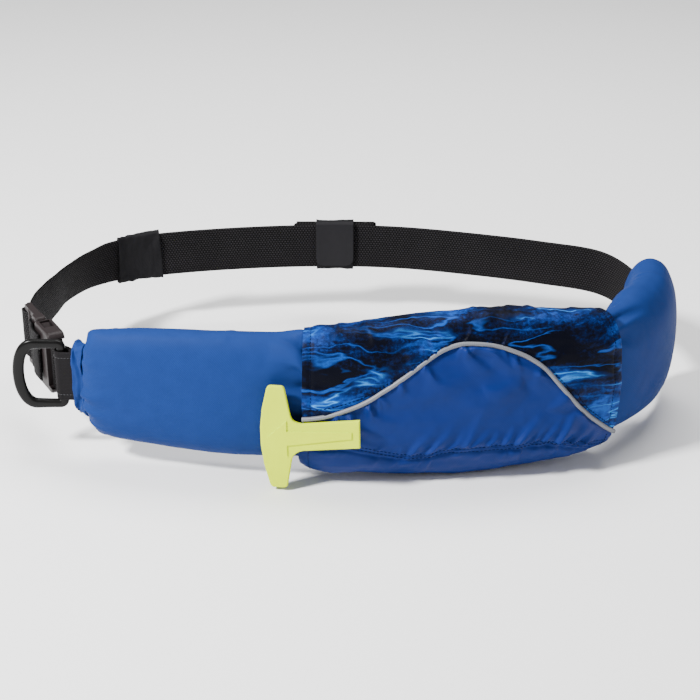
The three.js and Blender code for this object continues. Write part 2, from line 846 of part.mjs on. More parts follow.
// Belt: webbing from the female buckle through the cuff and sleeve, round the back to the male buckle
const buckleMiddle = ringFrame((buckleFront + buckleBack) / 2);

function makeBuckleFrame() {
  const back = ringFrame(buckleBack);
  const front = ringFrame(buckleFront);
  const along = front.at.clone().sub(back.at).normalize();
  const out = buckleMiddle.out.clone().addScaledVector(along, -buckleMiddle.out.dot(along)).normalize();
  const up = new THREE.Vector3().crossVectors(out, along).normalize();
  return { at: back.at.clone(), along, up, out };
}

const buckleFrame = makeBuckleFrame();

function buckleStation(x, out, slope) {
  const angle = THREE.MathUtils.degToRad(slope);
  const at = buckleFrame.at.clone().addScaledVector(buckleFrame.along, x);
  at.addScaledVector(buckleFrame.out, out);
  const along = buckleFrame.along.clone().multiplyScalar(Math.cos(angle));
  along.addScaledVector(buckleFrame.out, Math.sin(angle));
  const face = buckleFrame.out.clone().multiplyScalar(Math.cos(angle));
  face.addScaledVector(buckleFrame.along, -Math.sin(angle));
  return { at, along, up: buckleFrame.up, out: face };
}

function shifted(frame, out) {
  return { ...frame, at: frame.at.clone().addScaledVector(frame.out, out) };
}

const femaleBarX = buckleLength - femaleBarRadius;
const wrapRadius = femaleBarRadius + clearance + webbingThickness / 2;
const wrapRun = femaleBarRadius;

function makeBelt() {
  const frames = [];
  frames.push(buckleStation(buckleLength + tuckLength, -webbingThickness - clearance / 2, 180));
  frames.push(buckleStation(femaleBarX + wrapRun, -wrapRadius, 180));
  for (let k = 0; k <= 6; k += 1) {
    const turn = (k / 6) * Math.PI;
    const x = femaleBarX - wrapRadius * Math.sin(turn);
    const out = -wrapRadius * Math.cos(turn);
    frames.push(buckleStation(x, out, 180 - (turn * 180) / Math.PI));
  }
  frames.push(buckleStation(femaleBarX + wrapRun, wrapRadius, -5));
  frames.push(buckleStation(buckleLength + tuckLength * 0.6, wrapRadius * 0.235, -15));
  const stations = stationsBetween(ringBarAt - 1.5, ringLength + beltJoin);
  stations.forEach((s) => frames.push(shifted(ringFrame(s), beltInset(s))));
  const over = endBarRadius - endBarDrop + clearance + webbingThickness / 2;
  const under = midBarLift - midBarRadius - clearance - webbingThickness / 2;
  const onShoulder = shoulderThickness / 2 + clearance + webbingThickness / 2;
  weaveRows.forEach(({ by, level, slope }) => {
    frames.push(buckleStation(by * midBarSpacing, under + (over - under) * level, slope));
  });
  tailRows.forEach(({ by, level, slope }) => {
    frames.push(buckleStation(by * buckleLength, under + (onShoulder - under) * level, slope));
  });
  const last = tailRows[tailRows.length - 2];
  frames.push(buckleStation(last.by * buckleLength + tailLength, onShoulder + 2 * webbingThickness, 2));
  return ribbon(frames, webbingWidth, webbingThickness);
}

// Buckle halves, in the buckle's own frame: x towards the sleeve, y across the webbing, z outwards
const mark = (name) => buckleMarks[name] * buckleLength;
const buckleHalf = buckleWidth / 2;

function makeMaleBuckle() {
  const shoulderLength = mark("shoulderEnd") - mark("shoulderStart");
  const shoulderMiddle = (mark("shoulderEnd") + mark("shoulderStart")) / 2;
  const railEnd = shoulderMiddle;
  const side = buckleHalf - clearance;
  const rail = railThickness / 2;
  const pieces = [
    crossBar(endBarRadius, side, 0, -endBarDrop),
    crossBar(midBarRadius, side, midBarSpacing, midBarLift),
    boxBetween([0, side - railWidth, -rail], [railEnd, side, rail]),
    boxBetween([0, -side, -rail], [railEnd, -side + railWidth, rail]),
  ];
  const shoulder = roundedSlab(roundedOutline(shoulderLength, 2 * side, 3), shoulderThickness, 1.2);
  shoulder.translate(shoulderMiddle, 0, 0);
  pieces.push(shoulder);
  const arm = new THREE.Shape();
  arm.moveTo(mark("prongStart"), buckleHalf * 0.604);
  arm.lineTo(mark("tongueEnd") + 1, buckleHalf * 0.52);
  arm.quadraticCurveTo(mark("windowEnd"), buckleHalf * 0.5625, mark("prongEnd"), buckleHalf * 0.667);
  arm.lineTo(mark("barbEnd"), buckleHalf * 0.975);
  arm.lineTo(mark("barbStart") + 0.2, buckleHalf * 0.958);
  arm.lineTo(mark("barbStart"), buckleHalf * 0.775);
  arm.lineTo(mark("prongStart"), buckleHalf * 0.833);
  const prong = new THREE.ExtrudeGeometry(arm, {
    depth: prongThickness,
    bevelEnabled: false,
    curveSegments: 4,
  });
  prong.translate(0, 0, -prongThickness / 2);
  pieces.push(prong);
  const lower = prong.clone();
  lower.rotateX(Math.PI);
  pieces.push(lower);
  const tongue = buckleHalf / 8;
  const tongueStart = [mark("prongStart"), -tongue, -buckleWall];
  pieces.push(boxBetween(tongueStart, [mark("tongueEnd"), tongue, buckleWall]));
  return fromSolid(joined(pieces));
}

function makeFemaleBuckle() {
  const mouth = mark("mouth");
  const end = buckleLength;
  const slab = roundedSlab(roundedOutline(end - mouth, buckleWidth, 5), buckleThickness, 1.4);
  slab.translate((mouth + end) / 2, 0, 0);
  const body = toSolid(slab);
  const mouthCut = new THREE.CylinderGeometry(mouthRadius, mouthRadius, buckleWidth * 0.83, 24);
  mouthCut.rotateX(Math.PI / 2);
  mouthCut.translate(mouth - mouthRadius / 2, 0, 0);
  const inside = buckleThickness / 2 - buckleWall;
  const wall = buckleHalf - buckleWall;
  const cavity = boxBetween([mouth - mouthRadius, -wall, -inside], [mark("cavityEnd"), wall, inside]);
  const grip = inside - 0.6;
  const windowStart = [mark("windowStart"), -buckleWidth, -grip];
  const window = boxBetween(windowStart, [mark("windowEnd"), buckleWidth, grip]);
  const slotHalf = slotHeight / 2;
  const slotFrom = femaleBarX - wrapRadius - webbingThickness / 2 - 2 * clearance;
  const slot = boxBetween(
    [slotFrom, -slotHalf, -buckleThickness],
    [end + buckleThickness, slotHalf, buckleThickness]
  );
  const bar = crossBar(femaleBarRadius, slotHalf + buckleWall / 2, femaleBarX, 0);
  let solid = body;
  [mouthCut, cavity, window, slot].forEach((cut) => {
    solid = solid.subtract(toSolid(cut));
  });
  return fromSolid(solid.add(toSolid(bar)));
}

// D-ring: a round bar bent to a D, in its own frame: x away from the bar, y up, z out of its plane
function makeRing() {
  const halfHigh = (ringHeight - ringBar) / 2;
  const reach = ringDepth - ringBar;
  const corner = reach * ringCornerShare;
  const path = new THREE.CurvePath();
  const small = ringBar * 0.55;
  const points = [
    new THREE.Vector2(0, -halfHigh + small),
    new THREE.Vector2(0, halfHigh - small),
    new THREE.Vector2(small, halfHigh),
    new THREE.Vector2(reach - corner * 1.1, halfHigh),
    new THREE.Vector2(reach, 0),
    new THREE.Vector2(reach - corner * 1.1, -halfHigh),
    new THREE.Vector2(small, -halfHigh),
  ];
  path.add(new THREE.LineCurve(points[0], points[1]));
  path.add(new THREE.QuadraticBezierCurve(points[1], new THREE.Vector2(0, halfHigh), points[2]));
  path.add(new THREE.LineCurve(points[2], points[3]));
  path.add(
    new THREE.CubicBezierCurve(
      points[3],
      new THREE.Vector2(reach - corner * 0.35, halfHigh * 0.98),
      new THREE.Vector2(reach, halfHigh * 0.5),
      points[4]
    )
  );
  path.add(
    new THREE.CubicBezierCurve(
      points[4],
      new THREE.Vector2(reach, -halfHigh * 0.5),
      new THREE.Vector2(reach - corner * 0.35, -halfHigh * 0.98),
      points[5]
    )
  );
  path.add(new THREE.LineCurve(points[5], points[6]));
  path.add(new THREE.QuadraticBezierCurve(points[6], new THREE.Vector2(0, -halfHigh), points[0]));
  const steps = [1, 3, 1, 7, 7, 1, 3];
  const line = [];
  path.curves.forEach((curve, i) => {
    for (let k = 0; k < steps[i]; k += 1) {
      const p = curve.getPoint(k / steps[i]);
      const run = curve.getTangent(k / steps[i]);
      line.push({ p, run });
    }
  });
  line.forEach((item, k) => {
    const before = line[(k + line.length - 1) % line.length];
    const after = line[(k + 1) % line.length];
    item.run = after.p.clone().sub(before.p).normalize();
  });
  const sides = 8;
  const positions = [];
  const indices = [];
  line.forEach(({ p, run }) => {
    for (let k = 0; k < sides; k += 1) {
      const angle = ((k + 0.5) / sides) * Math.PI * 2;
      const across = (ringBar / 2) * Math.cos(angle);
      positions.push(p.x - run.y * across, p.y + run.x * across, (ringBar / 2) * Math.sin(angle));
    }
  });
  for (let i = 0; i < line.length; i += 1) {
    for (let k = 0; k < sides; k += 1) {
      const a = i * sides + k;
      const b = i * sides + ((k + 1) % sides);
      const c = ((i + 1) % line.length) * sides + k;
      const d = ((i + 1) % line.length) * sides + ((k + 1) % sides);
      indices.push(a, b, c, b, d, c);
    }
  }
  const geometry = new THREE.BufferGeometry();
  geometry.setAttribute("position", new THREE.Float32BufferAttribute(positions, 3));
  geometry.setIndex(indices);
  return facingOut(geometry);
}

// The loop's bar lies outside the belt by the loop's own radius
const loopInner = ringBar / 2 + clearance;
const loopOuter = loopInner + webbingThickness;
const ringBarOut = webbingThickness / 2 + clearance + loopOuter;

function makeRingLoop() {
  const tail = loopDistance + loopTail;
  const tailOut = loopOut - ringBarOut;
  const shape = new THREE.Shape();
  const start = THREE.MathUtils.degToRad(65);
  const end = THREE.MathUtils.degToRad(-80);
  shape.moveTo(tail, tailOut + webbingThickness);
  shape.lineTo(loopDistance, tailOut + webbingThickness);
  shape.lineTo(loopOuter * Math.cos(start), loopOuter * Math.sin(start));
  shape.absarc(0, 0, loopOuter, start, end + Math.PI * 2, false);
  shape.lineTo(loopDistance, tailOut - webbingThickness);
  shape.lineTo(tail, tailOut - webbingThickness);
  const hole = new THREE.Path();
  hole.absarc(0, 0, loopInner, 0, Math.PI * 2, true);
  shape.holes.push(hole);
  const body = new THREE.ExtrudeGeometry(shape, {
    depth: webbingWidth,
    bevelEnabled: false,
    curveSegments: 12,
  });
  body.translate(0, 0, -webbingWidth / 2);
  body.rotateX(Math.PI / 2);
  const position = body.getAttribute("position");
  for (let k = 0; k < position.count; k += 1) {
    const x = position.getX(k);
    const frame = shifted(ringFrame(x > loopDistance - 0.01 ? ringBarAt + x : ringBarAt), ringBarOut);
    const point = framePoint(frame, position.getY(k), position.getZ(k));
    if (x <= loopDistance - 0.01) point.addScaledVector(frame.along, x);
    position.setXYZ(k, point.x, point.y, point.z);
  }
  return body;
}

// Keepers: short tubes round the belt; the middle one also holds the folded spare webbing
function makeKeeper(middle, length, lowOut, highOut, swellDepth) {
  const from = middle - length / 2;
  const to = middle + length / 2;
  const outer = [];
  const inner = [];
  stationsBetween(from, to).forEach((s) => {
    const share = (s - from) / (to - from);
    const high = highOut + swellDepth * (1 - share);
    const corner = keeperWall * 1.2;
    const tube = (grow) => {
      const top = slotHeight / 2 + grow;
      const a = lowOut - grow;
      const b = high + grow;
      const cut = grow > 0 ? corner : clearance * 0.3;
      return [
        { up: top, out: a + cut },
        { up: top, out: b - cut },
        { up: top - cut, out: b },
        { up: -top + cut, out: b },
        { up: -top, out: b - cut },
        { up: -top, out: a + cut },
        { up: -top + cut, out: a },
        { up: top - cut, out: a },
      ];
    };
    outer.push(placed(s, tube(keeperWall)));
    inner.push(placed(s, tube(0)));
  });
  return loftBody(outer, inner);
}

const keeperLow = -webbingThickness / 2 - clearance;
const sparePitch = webbingThickness + spareGap;
const spareFirst = webbingThickness + clearance;
const spareTop = spareFirst + (spareLayers - 1) * sparePitch + webbingThickness / 2;

// Spare webbing folded to and fro behind the belt
function makeSpare() {
  const from = centreKeeperAt - spareLength / 2;
  const to = centreKeeperAt + spareLength / 2;
  const stations = stationsBetween(from, to);
  const frames = [];
  for (let layer = 0; layer < spareLayers; layer += 1) {
    const out = spareFirst + layer * sparePitch;
    const forward = layer % 2 === 0;
    const run = forward ? stations : [...stations].reverse();
    run.forEach((s) => {
      const frame = shifted(ringFrame(s), out);
      const sign = forward ? 1 : -1;
      frames.push({
        at: frame.at,
        along: frame.along.clone().multiplyScalar(sign),
        up: frame.up,
        out: frame.out.clone().multiplyScalar(sign),
      });
    });
    if (layer < spareLayers - 1) {
      const turnAt = ringFrame(forward ? to : from);
      const sign = forward ? 1 : -1;
      for (let k = 1; k < 5; k += 1) {
        const turn = (k / 5) * Math.PI;
        const reach = (sparePitch / 2) * Math.sin(turn) * sign;
        const lift = out + (sparePitch / 2) * (1 - Math.cos(turn));
        const at = turnAt.at.clone().addScaledVector(turnAt.along, reach).addScaledVector(turnAt.out, lift);
        const face = turnAt.out.clone().multiplyScalar(Math.cos(turn) * sign);
        face.addScaledVector(turnAt.along, -Math.sin(turn));
        frames.push({ at, along: turnAt.along, up: turnAt.up, out: face });
      }
    }
  }
  return ribbon(frames, webbingWidth, webbingThickness);
}

// Materials
const cloth = (color) => new THREE.MeshStandardMaterial({ color, roughness: 0.75, metalness: 0 });
const blueCloth = cloth("#31639f");
const printedCloth = cloth("#173a7c");
const blackWebbing = cloth("#19161a");
const reflective = new THREE.MeshStandardMaterial({ color: "#a9adb4", roughness: 0.4, metalness: 0.3 });
const brightPlastic = new THREE.MeshStandardMaterial({ color: "#dce374", roughness: 0.45, metalness: 0 });
const blackPlastic = new THREE.MeshStandardMaterial({ color: "#1e1e20", roughness: 0.35, metalness: 0 });
const brownPlastic = new THREE.MeshStandardMaterial({ color: "#352f30", roughness: 0.45, metalness: 0 });
const cellCoat = cloth("#d8c53a");

const group = new THREE.Group();

function addPiece(name, geometry, material, matrix) {
  const mesh = new THREE.Mesh(geometry, material);
  mesh.name = name;
  if (matrix) mesh.applyMatrix4(matrix);
  group.add(mesh);
}

addPiece("sleeve", makeSleeve(), blueCloth);
addPiece("sleeve_cuff", makeCuff(), blueCloth);
addPiece("cover_yoke", makeYoke(), printedCloth);
addPiece("cover_pocket", makePocket(), blueCloth);
addPiece("piping", makePiping(), reflective);
addPiece("packed_cell", makeCell(), cellCoat);
addPiece("pull_handle", makeHandle(), brightPlastic, handleMatrix());
addPiece("belt", makeBelt(), blackWebbing);
addPiece("buckle_male", makeMaleBuckle(), brownPlastic, frameMatrix(buckleFrame));
addPiece("buckle_female", makeFemaleBuckle(), brownPlastic, frameMatrix(buckleFrame));

const ringBarFrame = shifted(ringFrame(ringBarAt), ringBarOut);
addPiece("ring_loop", makeRingLoop(), blackWebbing);

const ringMatrix = new THREE.Matrix4().setPosition(ringBarFrame.at);
ringMatrix.multiply(new THREE.Matrix4().makeBasis(
  new THREE.Vector3(-1, 0, 0),
  new THREE.Vector3(0, 0, 1),
  new THREE.Vector3(0, 1, 0)
));
addPiece("d_ring", makeRing(), blackPlastic, ringMatrix);

addPiece(
  "keeper_left",
  makeKeeper(leftKeeperAt, leftKeeperLength, keeperLow, keeperLow + slotThickness, leftKeeperDepth),
  blackWebbing
);
addPiece(
  "keeper_centre",
  makeKeeper(centreKeeperAt, centreKeeperLength, keeperLow, spareTop + clearance, 0),
  blackPlastic
);
addPiece("spare_webbing", makeSpare(), blackWebbing);

export default group;
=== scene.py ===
import math

import bmesh
import bpy
import numpy as np
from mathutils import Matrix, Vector


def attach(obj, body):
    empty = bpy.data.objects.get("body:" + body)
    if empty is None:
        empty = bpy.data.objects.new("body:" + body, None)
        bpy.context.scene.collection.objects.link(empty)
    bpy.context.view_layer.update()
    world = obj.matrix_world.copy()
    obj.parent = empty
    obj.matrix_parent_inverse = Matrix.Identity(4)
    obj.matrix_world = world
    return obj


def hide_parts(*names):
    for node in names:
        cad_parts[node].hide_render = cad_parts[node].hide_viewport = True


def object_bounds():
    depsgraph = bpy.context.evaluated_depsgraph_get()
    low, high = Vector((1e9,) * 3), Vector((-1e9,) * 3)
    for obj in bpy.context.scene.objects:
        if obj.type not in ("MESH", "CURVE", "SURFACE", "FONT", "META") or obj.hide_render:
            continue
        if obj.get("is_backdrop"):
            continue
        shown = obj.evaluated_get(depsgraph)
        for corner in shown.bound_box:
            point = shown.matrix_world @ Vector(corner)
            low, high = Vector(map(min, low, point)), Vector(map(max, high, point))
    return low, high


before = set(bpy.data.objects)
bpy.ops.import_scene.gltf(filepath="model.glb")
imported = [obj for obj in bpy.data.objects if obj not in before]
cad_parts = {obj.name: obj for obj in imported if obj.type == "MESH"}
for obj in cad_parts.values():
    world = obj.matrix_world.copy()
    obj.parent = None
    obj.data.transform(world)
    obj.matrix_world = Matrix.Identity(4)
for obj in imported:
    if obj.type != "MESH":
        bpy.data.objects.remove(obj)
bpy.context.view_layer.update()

rng = np.random.default_rng(7)

# Sizes in millimetres, as in the part's source
RING_HALF = (245, 145)
WEB_WIDTH, WEB_THICK, CLEAR = 38, 1.8, 0.3
COVER_LENGTH, COVER_MIDDLE, COVER_HEIGHT, COVER_THICK = 214, -10, 123, 50
COVER_OFFSET, COVER_WALL = 4, 1.8
COVER_POWER, SLEEVE_POWER = 2.5, 2.4
LEFT_LENGTH, RIGHT_LENGTH, SLEEVE_HEIGHT, SLEEVE_THICK = 157, 126, 95, 36
PAD_DEPTH, PAD_RUN, PAD_SLACK, HEM_LIP = 19, 26, 0.4, 34
COVER_LEFT, COVER_RIGHT = COVER_MIDDLE - COVER_LENGTH / 2, COVER_MIDDLE + COVER_LENGTH / 2
SLEEVE_LEFT, SLEEVE_RIGHT = COVER_LEFT - LEFT_LENGTH, COVER_RIGHT + RIGHT_LENGTH
CUFF_LENGTH, CUFF_HEIGHT, CUFF_THICK = 10.5, 56, 16
CUFF_RIGHT = SLEEVE_LEFT - CLEAR
CUFF_LEFT = CUFF_RIGHT - CUFF_LENGTH
PIPING_RADIUS = 1.65
RING_HEIGHT, RING_DEPTH, RING_BAR = 53.6, 38.4, 6.4
LOOP_DISTANCE, LOOP_TAIL = 10, 9
BUCKLE_LENGTH, BUCKLE_DISTANCE, FEMALE_BAR, MID_BAR, END_BAR = 64, 15.3, 2.2, 2.3, 3
MID_SPACING, TAIL_LENGTH = 10.5, 24
WEB_IN = -WEB_THICK / 2 - CLEAR
RING_BAR_AT = CUFF_LEFT - LOOP_DISTANCE
BUCKLE_FRONT = RING_BAR_AT - BUCKLE_DISTANCE
BUCKLE_BACK = BUCKLE_FRONT - BUCKLE_LENGTH
LEFT_KEEPER_DISTANCE, KEEPERS_APART, KEEPER_WALL = 178, 166, 1.6
SPARE_HALF, SPARE_PITCH = 32, WEB_THICK + 1.3

# Sizes that only the look has
LIP = math.pi / 2 + math.radians(HEM_LIP)
PANEL_STEP, HEM_ROWS_APART, EDGE_STITCHES_IN, RIM = 1.0, 3.4, 5, 0.4
END_ROWS, END_BULGE, END_RUN, END_ROUNDING = 7, 2.4, 11, 0.11
SLIT_HEIGHT, SLIT_THICK, SLIT_POWER = WEB_WIDTH + 0.8, 3, 8
SLEEVE_STEP, BELT_STEP, LOOP_STITCHES_IN, HEM_STITCH_PITCH, END_STITCH_PITCH = 1.6, 4.0, 4.5, 2.9, 2.5

# Belt line: shares of the half width and depth, rise as a share of the webbing, tilt in degrees
RING_ROWS = np.array([
    (0.345, -0.873, 0, 0), (0.463, -0.839, 0, 0), (0.64, -0.79, 0, 0), (0.745, -0.7, 0, 0),
    (0.872, -0.45, 0, 0), (0.935, -0.2, 0, 0), (0.948, 0.03, 0, 0), (0.92, 0.3, 0.03, 0),
    (0.835, 0.555, 0.08, 0), (0.644, 0.713, 0.08, 0), (0.395, 0.853, 0.08, 0), (0.173, 0.945, 0.08, 0),
    (-0.02, 0.975, 0.08, 0), (-0.226, 0.965, 0.08, 0), (-0.45, 0.93, 0.06, 0), (-0.638, 0.88, 0.03, 0),
    (-0.741, 0.84, 0, -2), (-0.82, 0.768, 0, -8), (-0.88, 0.65, 0, -14), (-0.928, 0.489, 0, -14),
    (-0.957, 0.303, 0, -8), (-0.977, 0.15, 0, -3), (-0.99, 0.01, 0, 0), (-0.993, -0.12, 0, 0),
    (-0.987, -0.23, 0, 0), (-0.955, -0.36, 0, 0), (-0.908, -0.488, 0, 0), (-0.87, -0.585, 0, 0),
    (-0.827, -0.668, 0, 0), (-0.776, -0.74, 0, 0), (-0.712, -0.795, 0, 0), (-0.578, -0.845, 0, 0),
    (-0.316, -0.917, 0, 0), (-0.1, -0.955, 0, 0), (0.072, -0.925, 0, 0), (0.2, -0.9, 0, 0)])

LEFT_ROWS = np.array([
    (0, 1.03, 0.98, 0.85), (0.12, 1.01, 0.99, 0.95), (0.28, 0.985, 1, 1.03), (0.48, 0.965, 0.98, 1.02),
    (0.69, 0.93, 0.95, 0.98), (0.82, 0.9, 0.92, 0.94), (0.9, 0.87, 0.89, 0.88),
    (0.95, 0.84, 0.83, 0.8), (0.985, 0.765, 0.74, 0.66), (1, 0.64, 0.61, 0.5)])
RIGHT_ROWS = np.array([
    (0, 0.97, 0.97, 0.9), (0.175, 0.98, 0.98, 0.97), (0.42, 1, 1, 1), (0.67, 1, 1.01, 1),
    (0.876, 0.99, 1, 0.96), (0.959, 0.95, 0.95, 0.82), (1, 0.86, 0.84, 0.6)])
COVER_ROWS = np.array([
    (-0.5, 0.84, 0.8, 0.86, 0.45), (-0.475, 0.85, 0.86, 0.88, 0.5), (-0.41, 0.88, 0.9, 0.9, 0.8),
    (-0.32, 0.897, 0.908, 0.945, 1), (-0.235, 0.931, 0.933, 0.975, 1),
    (-0.147, 0.969, 0.961, 0.996, 1), (-0.06, 0.994, 0.984, 1, 1),
    (0.034, 1, 0.992, 1, 1), (0.126, 0.995, 0.976, 0.997, 1), (0.218, 0.979, 0.948, 0.985, 1),
    (0.31, 0.953, 0.912, 0.963, 1), (0.41, 0.912, 0.878, 0.921, 0.8), (0.5, 0.845, 0.84, 0.88, 0.45)])
ARCH_ROWS = np.array([
    (-0.5, -0.129), (-0.43, -0.056), (-0.37, 0.036), (-0.31, 0.146), (-0.25, 0.278), (-0.19, 0.42),
    (-0.13, 0.562), (-0.07, 0.68), (-0.01, 0.739), (0.05, 0.731), (0.11, 0.692), (0.17, 0.616),
    (0.22, 0.54), (0.27, 0.413), (0.31, 0.231), (0.35, 0.02), (0.39, -0.218), (0.43, -0.4),
    (0.47, -0.586), (0.5, -0.711)])
HEM_ROWS = np.array([
    (-0.5, -0.45), (-0.4, -0.451), (-0.3, -0.54), (-0.2, -0.615), (-0.1, -0.607), (-0.03, -0.537),
    (0.04, -0.536), (0.1, -0.535), (0.2, -0.539), (0.3, -0.556), (0.38, -0.657), (0.44, -0.758),
    (0.5, -0.859)])
CUFF_ROWS = np.array([
    (0, 1, 1), (0.3, 0.93, 0.9), (0.6, 0.95, 0.92), (0.82, 1.03, 1.04), (0.95, 1, 0.98), (1, 0.95, 0.9)])


def hermite(first, last, slope_first, slope_last, span, t):
    """The cubic between two values with the given slopes at its ends."""
    r = 1 - t
    return (first * (1 + 2 * t) * r * r + slope_first * span * t * r * r
            + last * t * t * (3 - 2 * t) - slope_last * span * t * t * r)


def read(rows, column, at):
    """A smooth curve through one column of a table."""
    x, y = rows[:, 0], rows[:, column]
    at = np.clip(at, x[0], x[-1])
    i = np.clip(np.searchsorted(x, at, side="right") - 1, 0, len(x) - 2)
    before, after = np.maximum(np.arange(len(x)) - 1, 0), np.minimum(np.arange(len(x)) + 1, len(x) - 1)
    slope = (y[after] - y[before]) / (x[after] - x[before])
    span = x[i + 1] - x[i]
    return hermite(y[i], y[i + 1], slope[i], slope[i + 1], span, (at - x[i]) / span)


def smooth(t):
    """Eases from 0 to 1."""
    t = np.clip(t, 0, 1)
    return t * t * (3 - 2 * t)


def bell(x):
    """1 at 0, falling away to both sides."""
    return np.exp(-(x ** 2))


def run_length(points):
    """Distance reached at each point of a line."""
    return np.concatenate([[0], np.cumsum(np.linalg.norm(np.diff(points, axis=0), axis=1))])


# The belt line, by distance along it
CONTROL = RING_ROWS[:, :3] * (*RING_HALF, WEB_WIDTH)


def spline(t):
    """Place and run of the closed centripetal curve, at shares t of its rows."""
    n = len(CONTROL)
    p = t * n
    i = np.floor(p).astype(int)
    w = (p - i)[:, None]
    x0, x1, x2, x3 = (CONTROL[(i + k) % n] for k in (-1, 0, 1, 2))
    d0, d1, d2 = ((((a - b) ** 2).sum(1) ** 0.25)[:, None] for a, b in ((x0, x1), (x1, x2), (x2, x3)))
    t1 = ((x1 - x0) / d0 - (x2 - x0) / (d0 + d1) + (x2 - x1) / d1) * d1
    t2 = ((x2 - x1) / d1 - (x3 - x1) / (d1 + d2) + (x3 - x2) / d2) * d1
    c2, c3 = -3 * x1 + 3 * x2 - 2 * t1 - t2, 2 * x1 - 2 * x2 + t1 + t2
    return x1 + t1 * w + c2 * w ** 2 + c3 * w ** 3, t1 + 2 * c2 * w + 3 * c3 * w ** 2


STEPS = np.linspace(0, 1, 12001)
LINE = spline(np.minimum(STEPS, 1 - 1e-12))[0]
REACHED = run_length(LINE)
RING_LENGTH = REACHED[-1]
LEFT_KEEPER_AT = RING_LENGTH + BUCKLE_BACK - LEFT_KEEPER_DISTANCE
CENTRE_KEEPER_AT = LEFT_KEEPER_AT - KEEPERS_APART


def unit(v):
    return v / np.maximum(np.linalg.norm(v, axis=-1, keepdims=True), 1e-12)


def ring(s):
    """Place, run, up and out of the belt line at distances s."""
    t = np.interp(np.mod(np.atleast_1d(s), RING_LENGTH), REACHED, STEPS)
    place, run = spline(np.minimum(t, 1 - 1e-12))
    run = unit(run)
    level = unit(np.stack([run[:, 1], -run[:, 0], np.zeros(len(run))], 1))
    upright = unit(np.cross(level, run))
    row = t * len(RING_ROWS)
    i = np.floor(row).astype(int)
    tilt = RING_ROWS[:, 3][i % len(RING_ROWS)]
    after = RING_ROWS[:, 3][(i + 1) % len(RING_ROWS)]
    angle = np.radians(tilt + (after - tilt) * smooth(row - i))[:, None]
    cos, sin = np.cos(angle), np.sin(angle)
    return place, run, upright * cos + level * sin, level * cos - upright * sin


def sweep(s, up, out):
    """Points at heights up and depths out, both of shape (stations, points), along the belt line."""
    place, _, u, o = ring(s)
    return place[:, None] + u[:, None] * up[..., None] + o[:, None] * out[..., None]


def cushion(angle, top, bottom, thick, power):
    """Up and out round a rounded section."""
    c, s = np.cos(angle), np.sin(angle)
    up = np.where(s > 0, top, bottom) * np.sign(s) * np.abs(s) ** (2 / power)
    return up, thick * np.sign(c) * np.abs(c) ** (2 / power)


def cover_point(s, angle, inset=0.0):
    """Up and out on the cover's outer face, or as far inside it as the inset."""
    at = (s - COVER_MIDDLE) / COVER_LENGTH
    top = read(COVER_ROWS, 1, at) * COVER_HEIGHT / 2 - inset
    bottom = read(COVER_ROWS, 2, at) * COVER_HEIGHT / 2 - inset
    thick = read(COVER_ROWS, 3, at) * COVER_THICK / 2 - inset
    up, out = cushion(angle, top, bottom, thick, COVER_POWER)
    return up, out + COVER_OFFSET * read(COVER_ROWS, 4, at)


def share_angle(height):
    """The section angle at a share of the cover's half height."""
    return np.sign(height) * np.arcsin(np.minimum(np.abs(height), 1) ** (COVER_POWER / 2))


def arch_angle(s):
    return share_angle(read(ARCH_ROWS, 1, (s - COVER_MIDDLE) / COVER_LENGTH))


def belt_inset(s):
    """How far the belt moves inwards behind the cover."""
    inside = np.minimum(s - COVER_LEFT, COVER_RIGHT - s) / PAD_RUN
    return -smooth(inside) * (PAD_DEPTH + COVER_OFFSET) / 2


PAD_FRONT = -COVER_OFFSET


def sleeve_point(s, angle):
    """Up and out on the sleeve, which is a flat pad behind the cover."""
    left = s <= COVER_LEFT
    share = np.maximum(np.where(left, (COVER_LEFT - s) / LEFT_LENGTH, (s - COVER_RIGHT) / RIGHT_LENGTH), 0)
    top, bottom, thick = (
        np.where(left, read(LEFT_ROWS, c, share), read(RIGHT_ROWS, c, share)) for c in (1, 2, 3))
    half = SLEEVE_HEIGHT / 2
    up, out = cushion(angle, top * half, bottom * half, thick * SLEEVE_THICK / 2, SLEEVE_POWER)
    turn = smooth(np.minimum(s - COVER_LEFT, COVER_RIGHT - s) / PAD_RUN)
    pad_up, pad_out = cover_point(s, angle, COVER_WALL + CLEAR + PAD_SLACK)
    flat = pad_out > PAD_FRONT
    pad_up, pad_out = np.where(flat, pad_up * 0.95, pad_up), np.where(flat, PAD_FRONT, pad_out)
    return up + (pad_up - up) * turn, out + (pad_out - out) * turn


# Seeded noise and folds, in millimetres over a cloth's length along the belt and round the section
def lattice(i, j, seed):
    h = (i * 374761393 + j * 668265263 + seed * 974634777) & 0xFFFFFFFF
    h = ((h ^ (h >> 13)) * 1274126177) & 0xFFFFFFFF
    return ((h ^ (h >> 16)) & 0xFFFF) / 32767.5 - 1


def noise(x, y, seed=0):
    i, j = np.floor(x).astype(np.int64), np.floor(y).astype(np.int64)
    fx, fy = smooth(x - i), smooth(y - j)
    a, b = lattice(i, j, seed), lattice(i + 1, j, seed)
    c, d = lattice(i, j + 1, seed), lattice(i + 1, j + 1, seed)
    return (a + (b - a) * fx) * (1 - fy) + (c + (d - c) * fx) * fy


def layered(x, y, seed=0, layers=3):
    """Noise with finer and fainter layers."""
    return sum(noise(x * 2 ** k, y * 2 ** k, seed + k) / 2 ** k for k in range(layers))


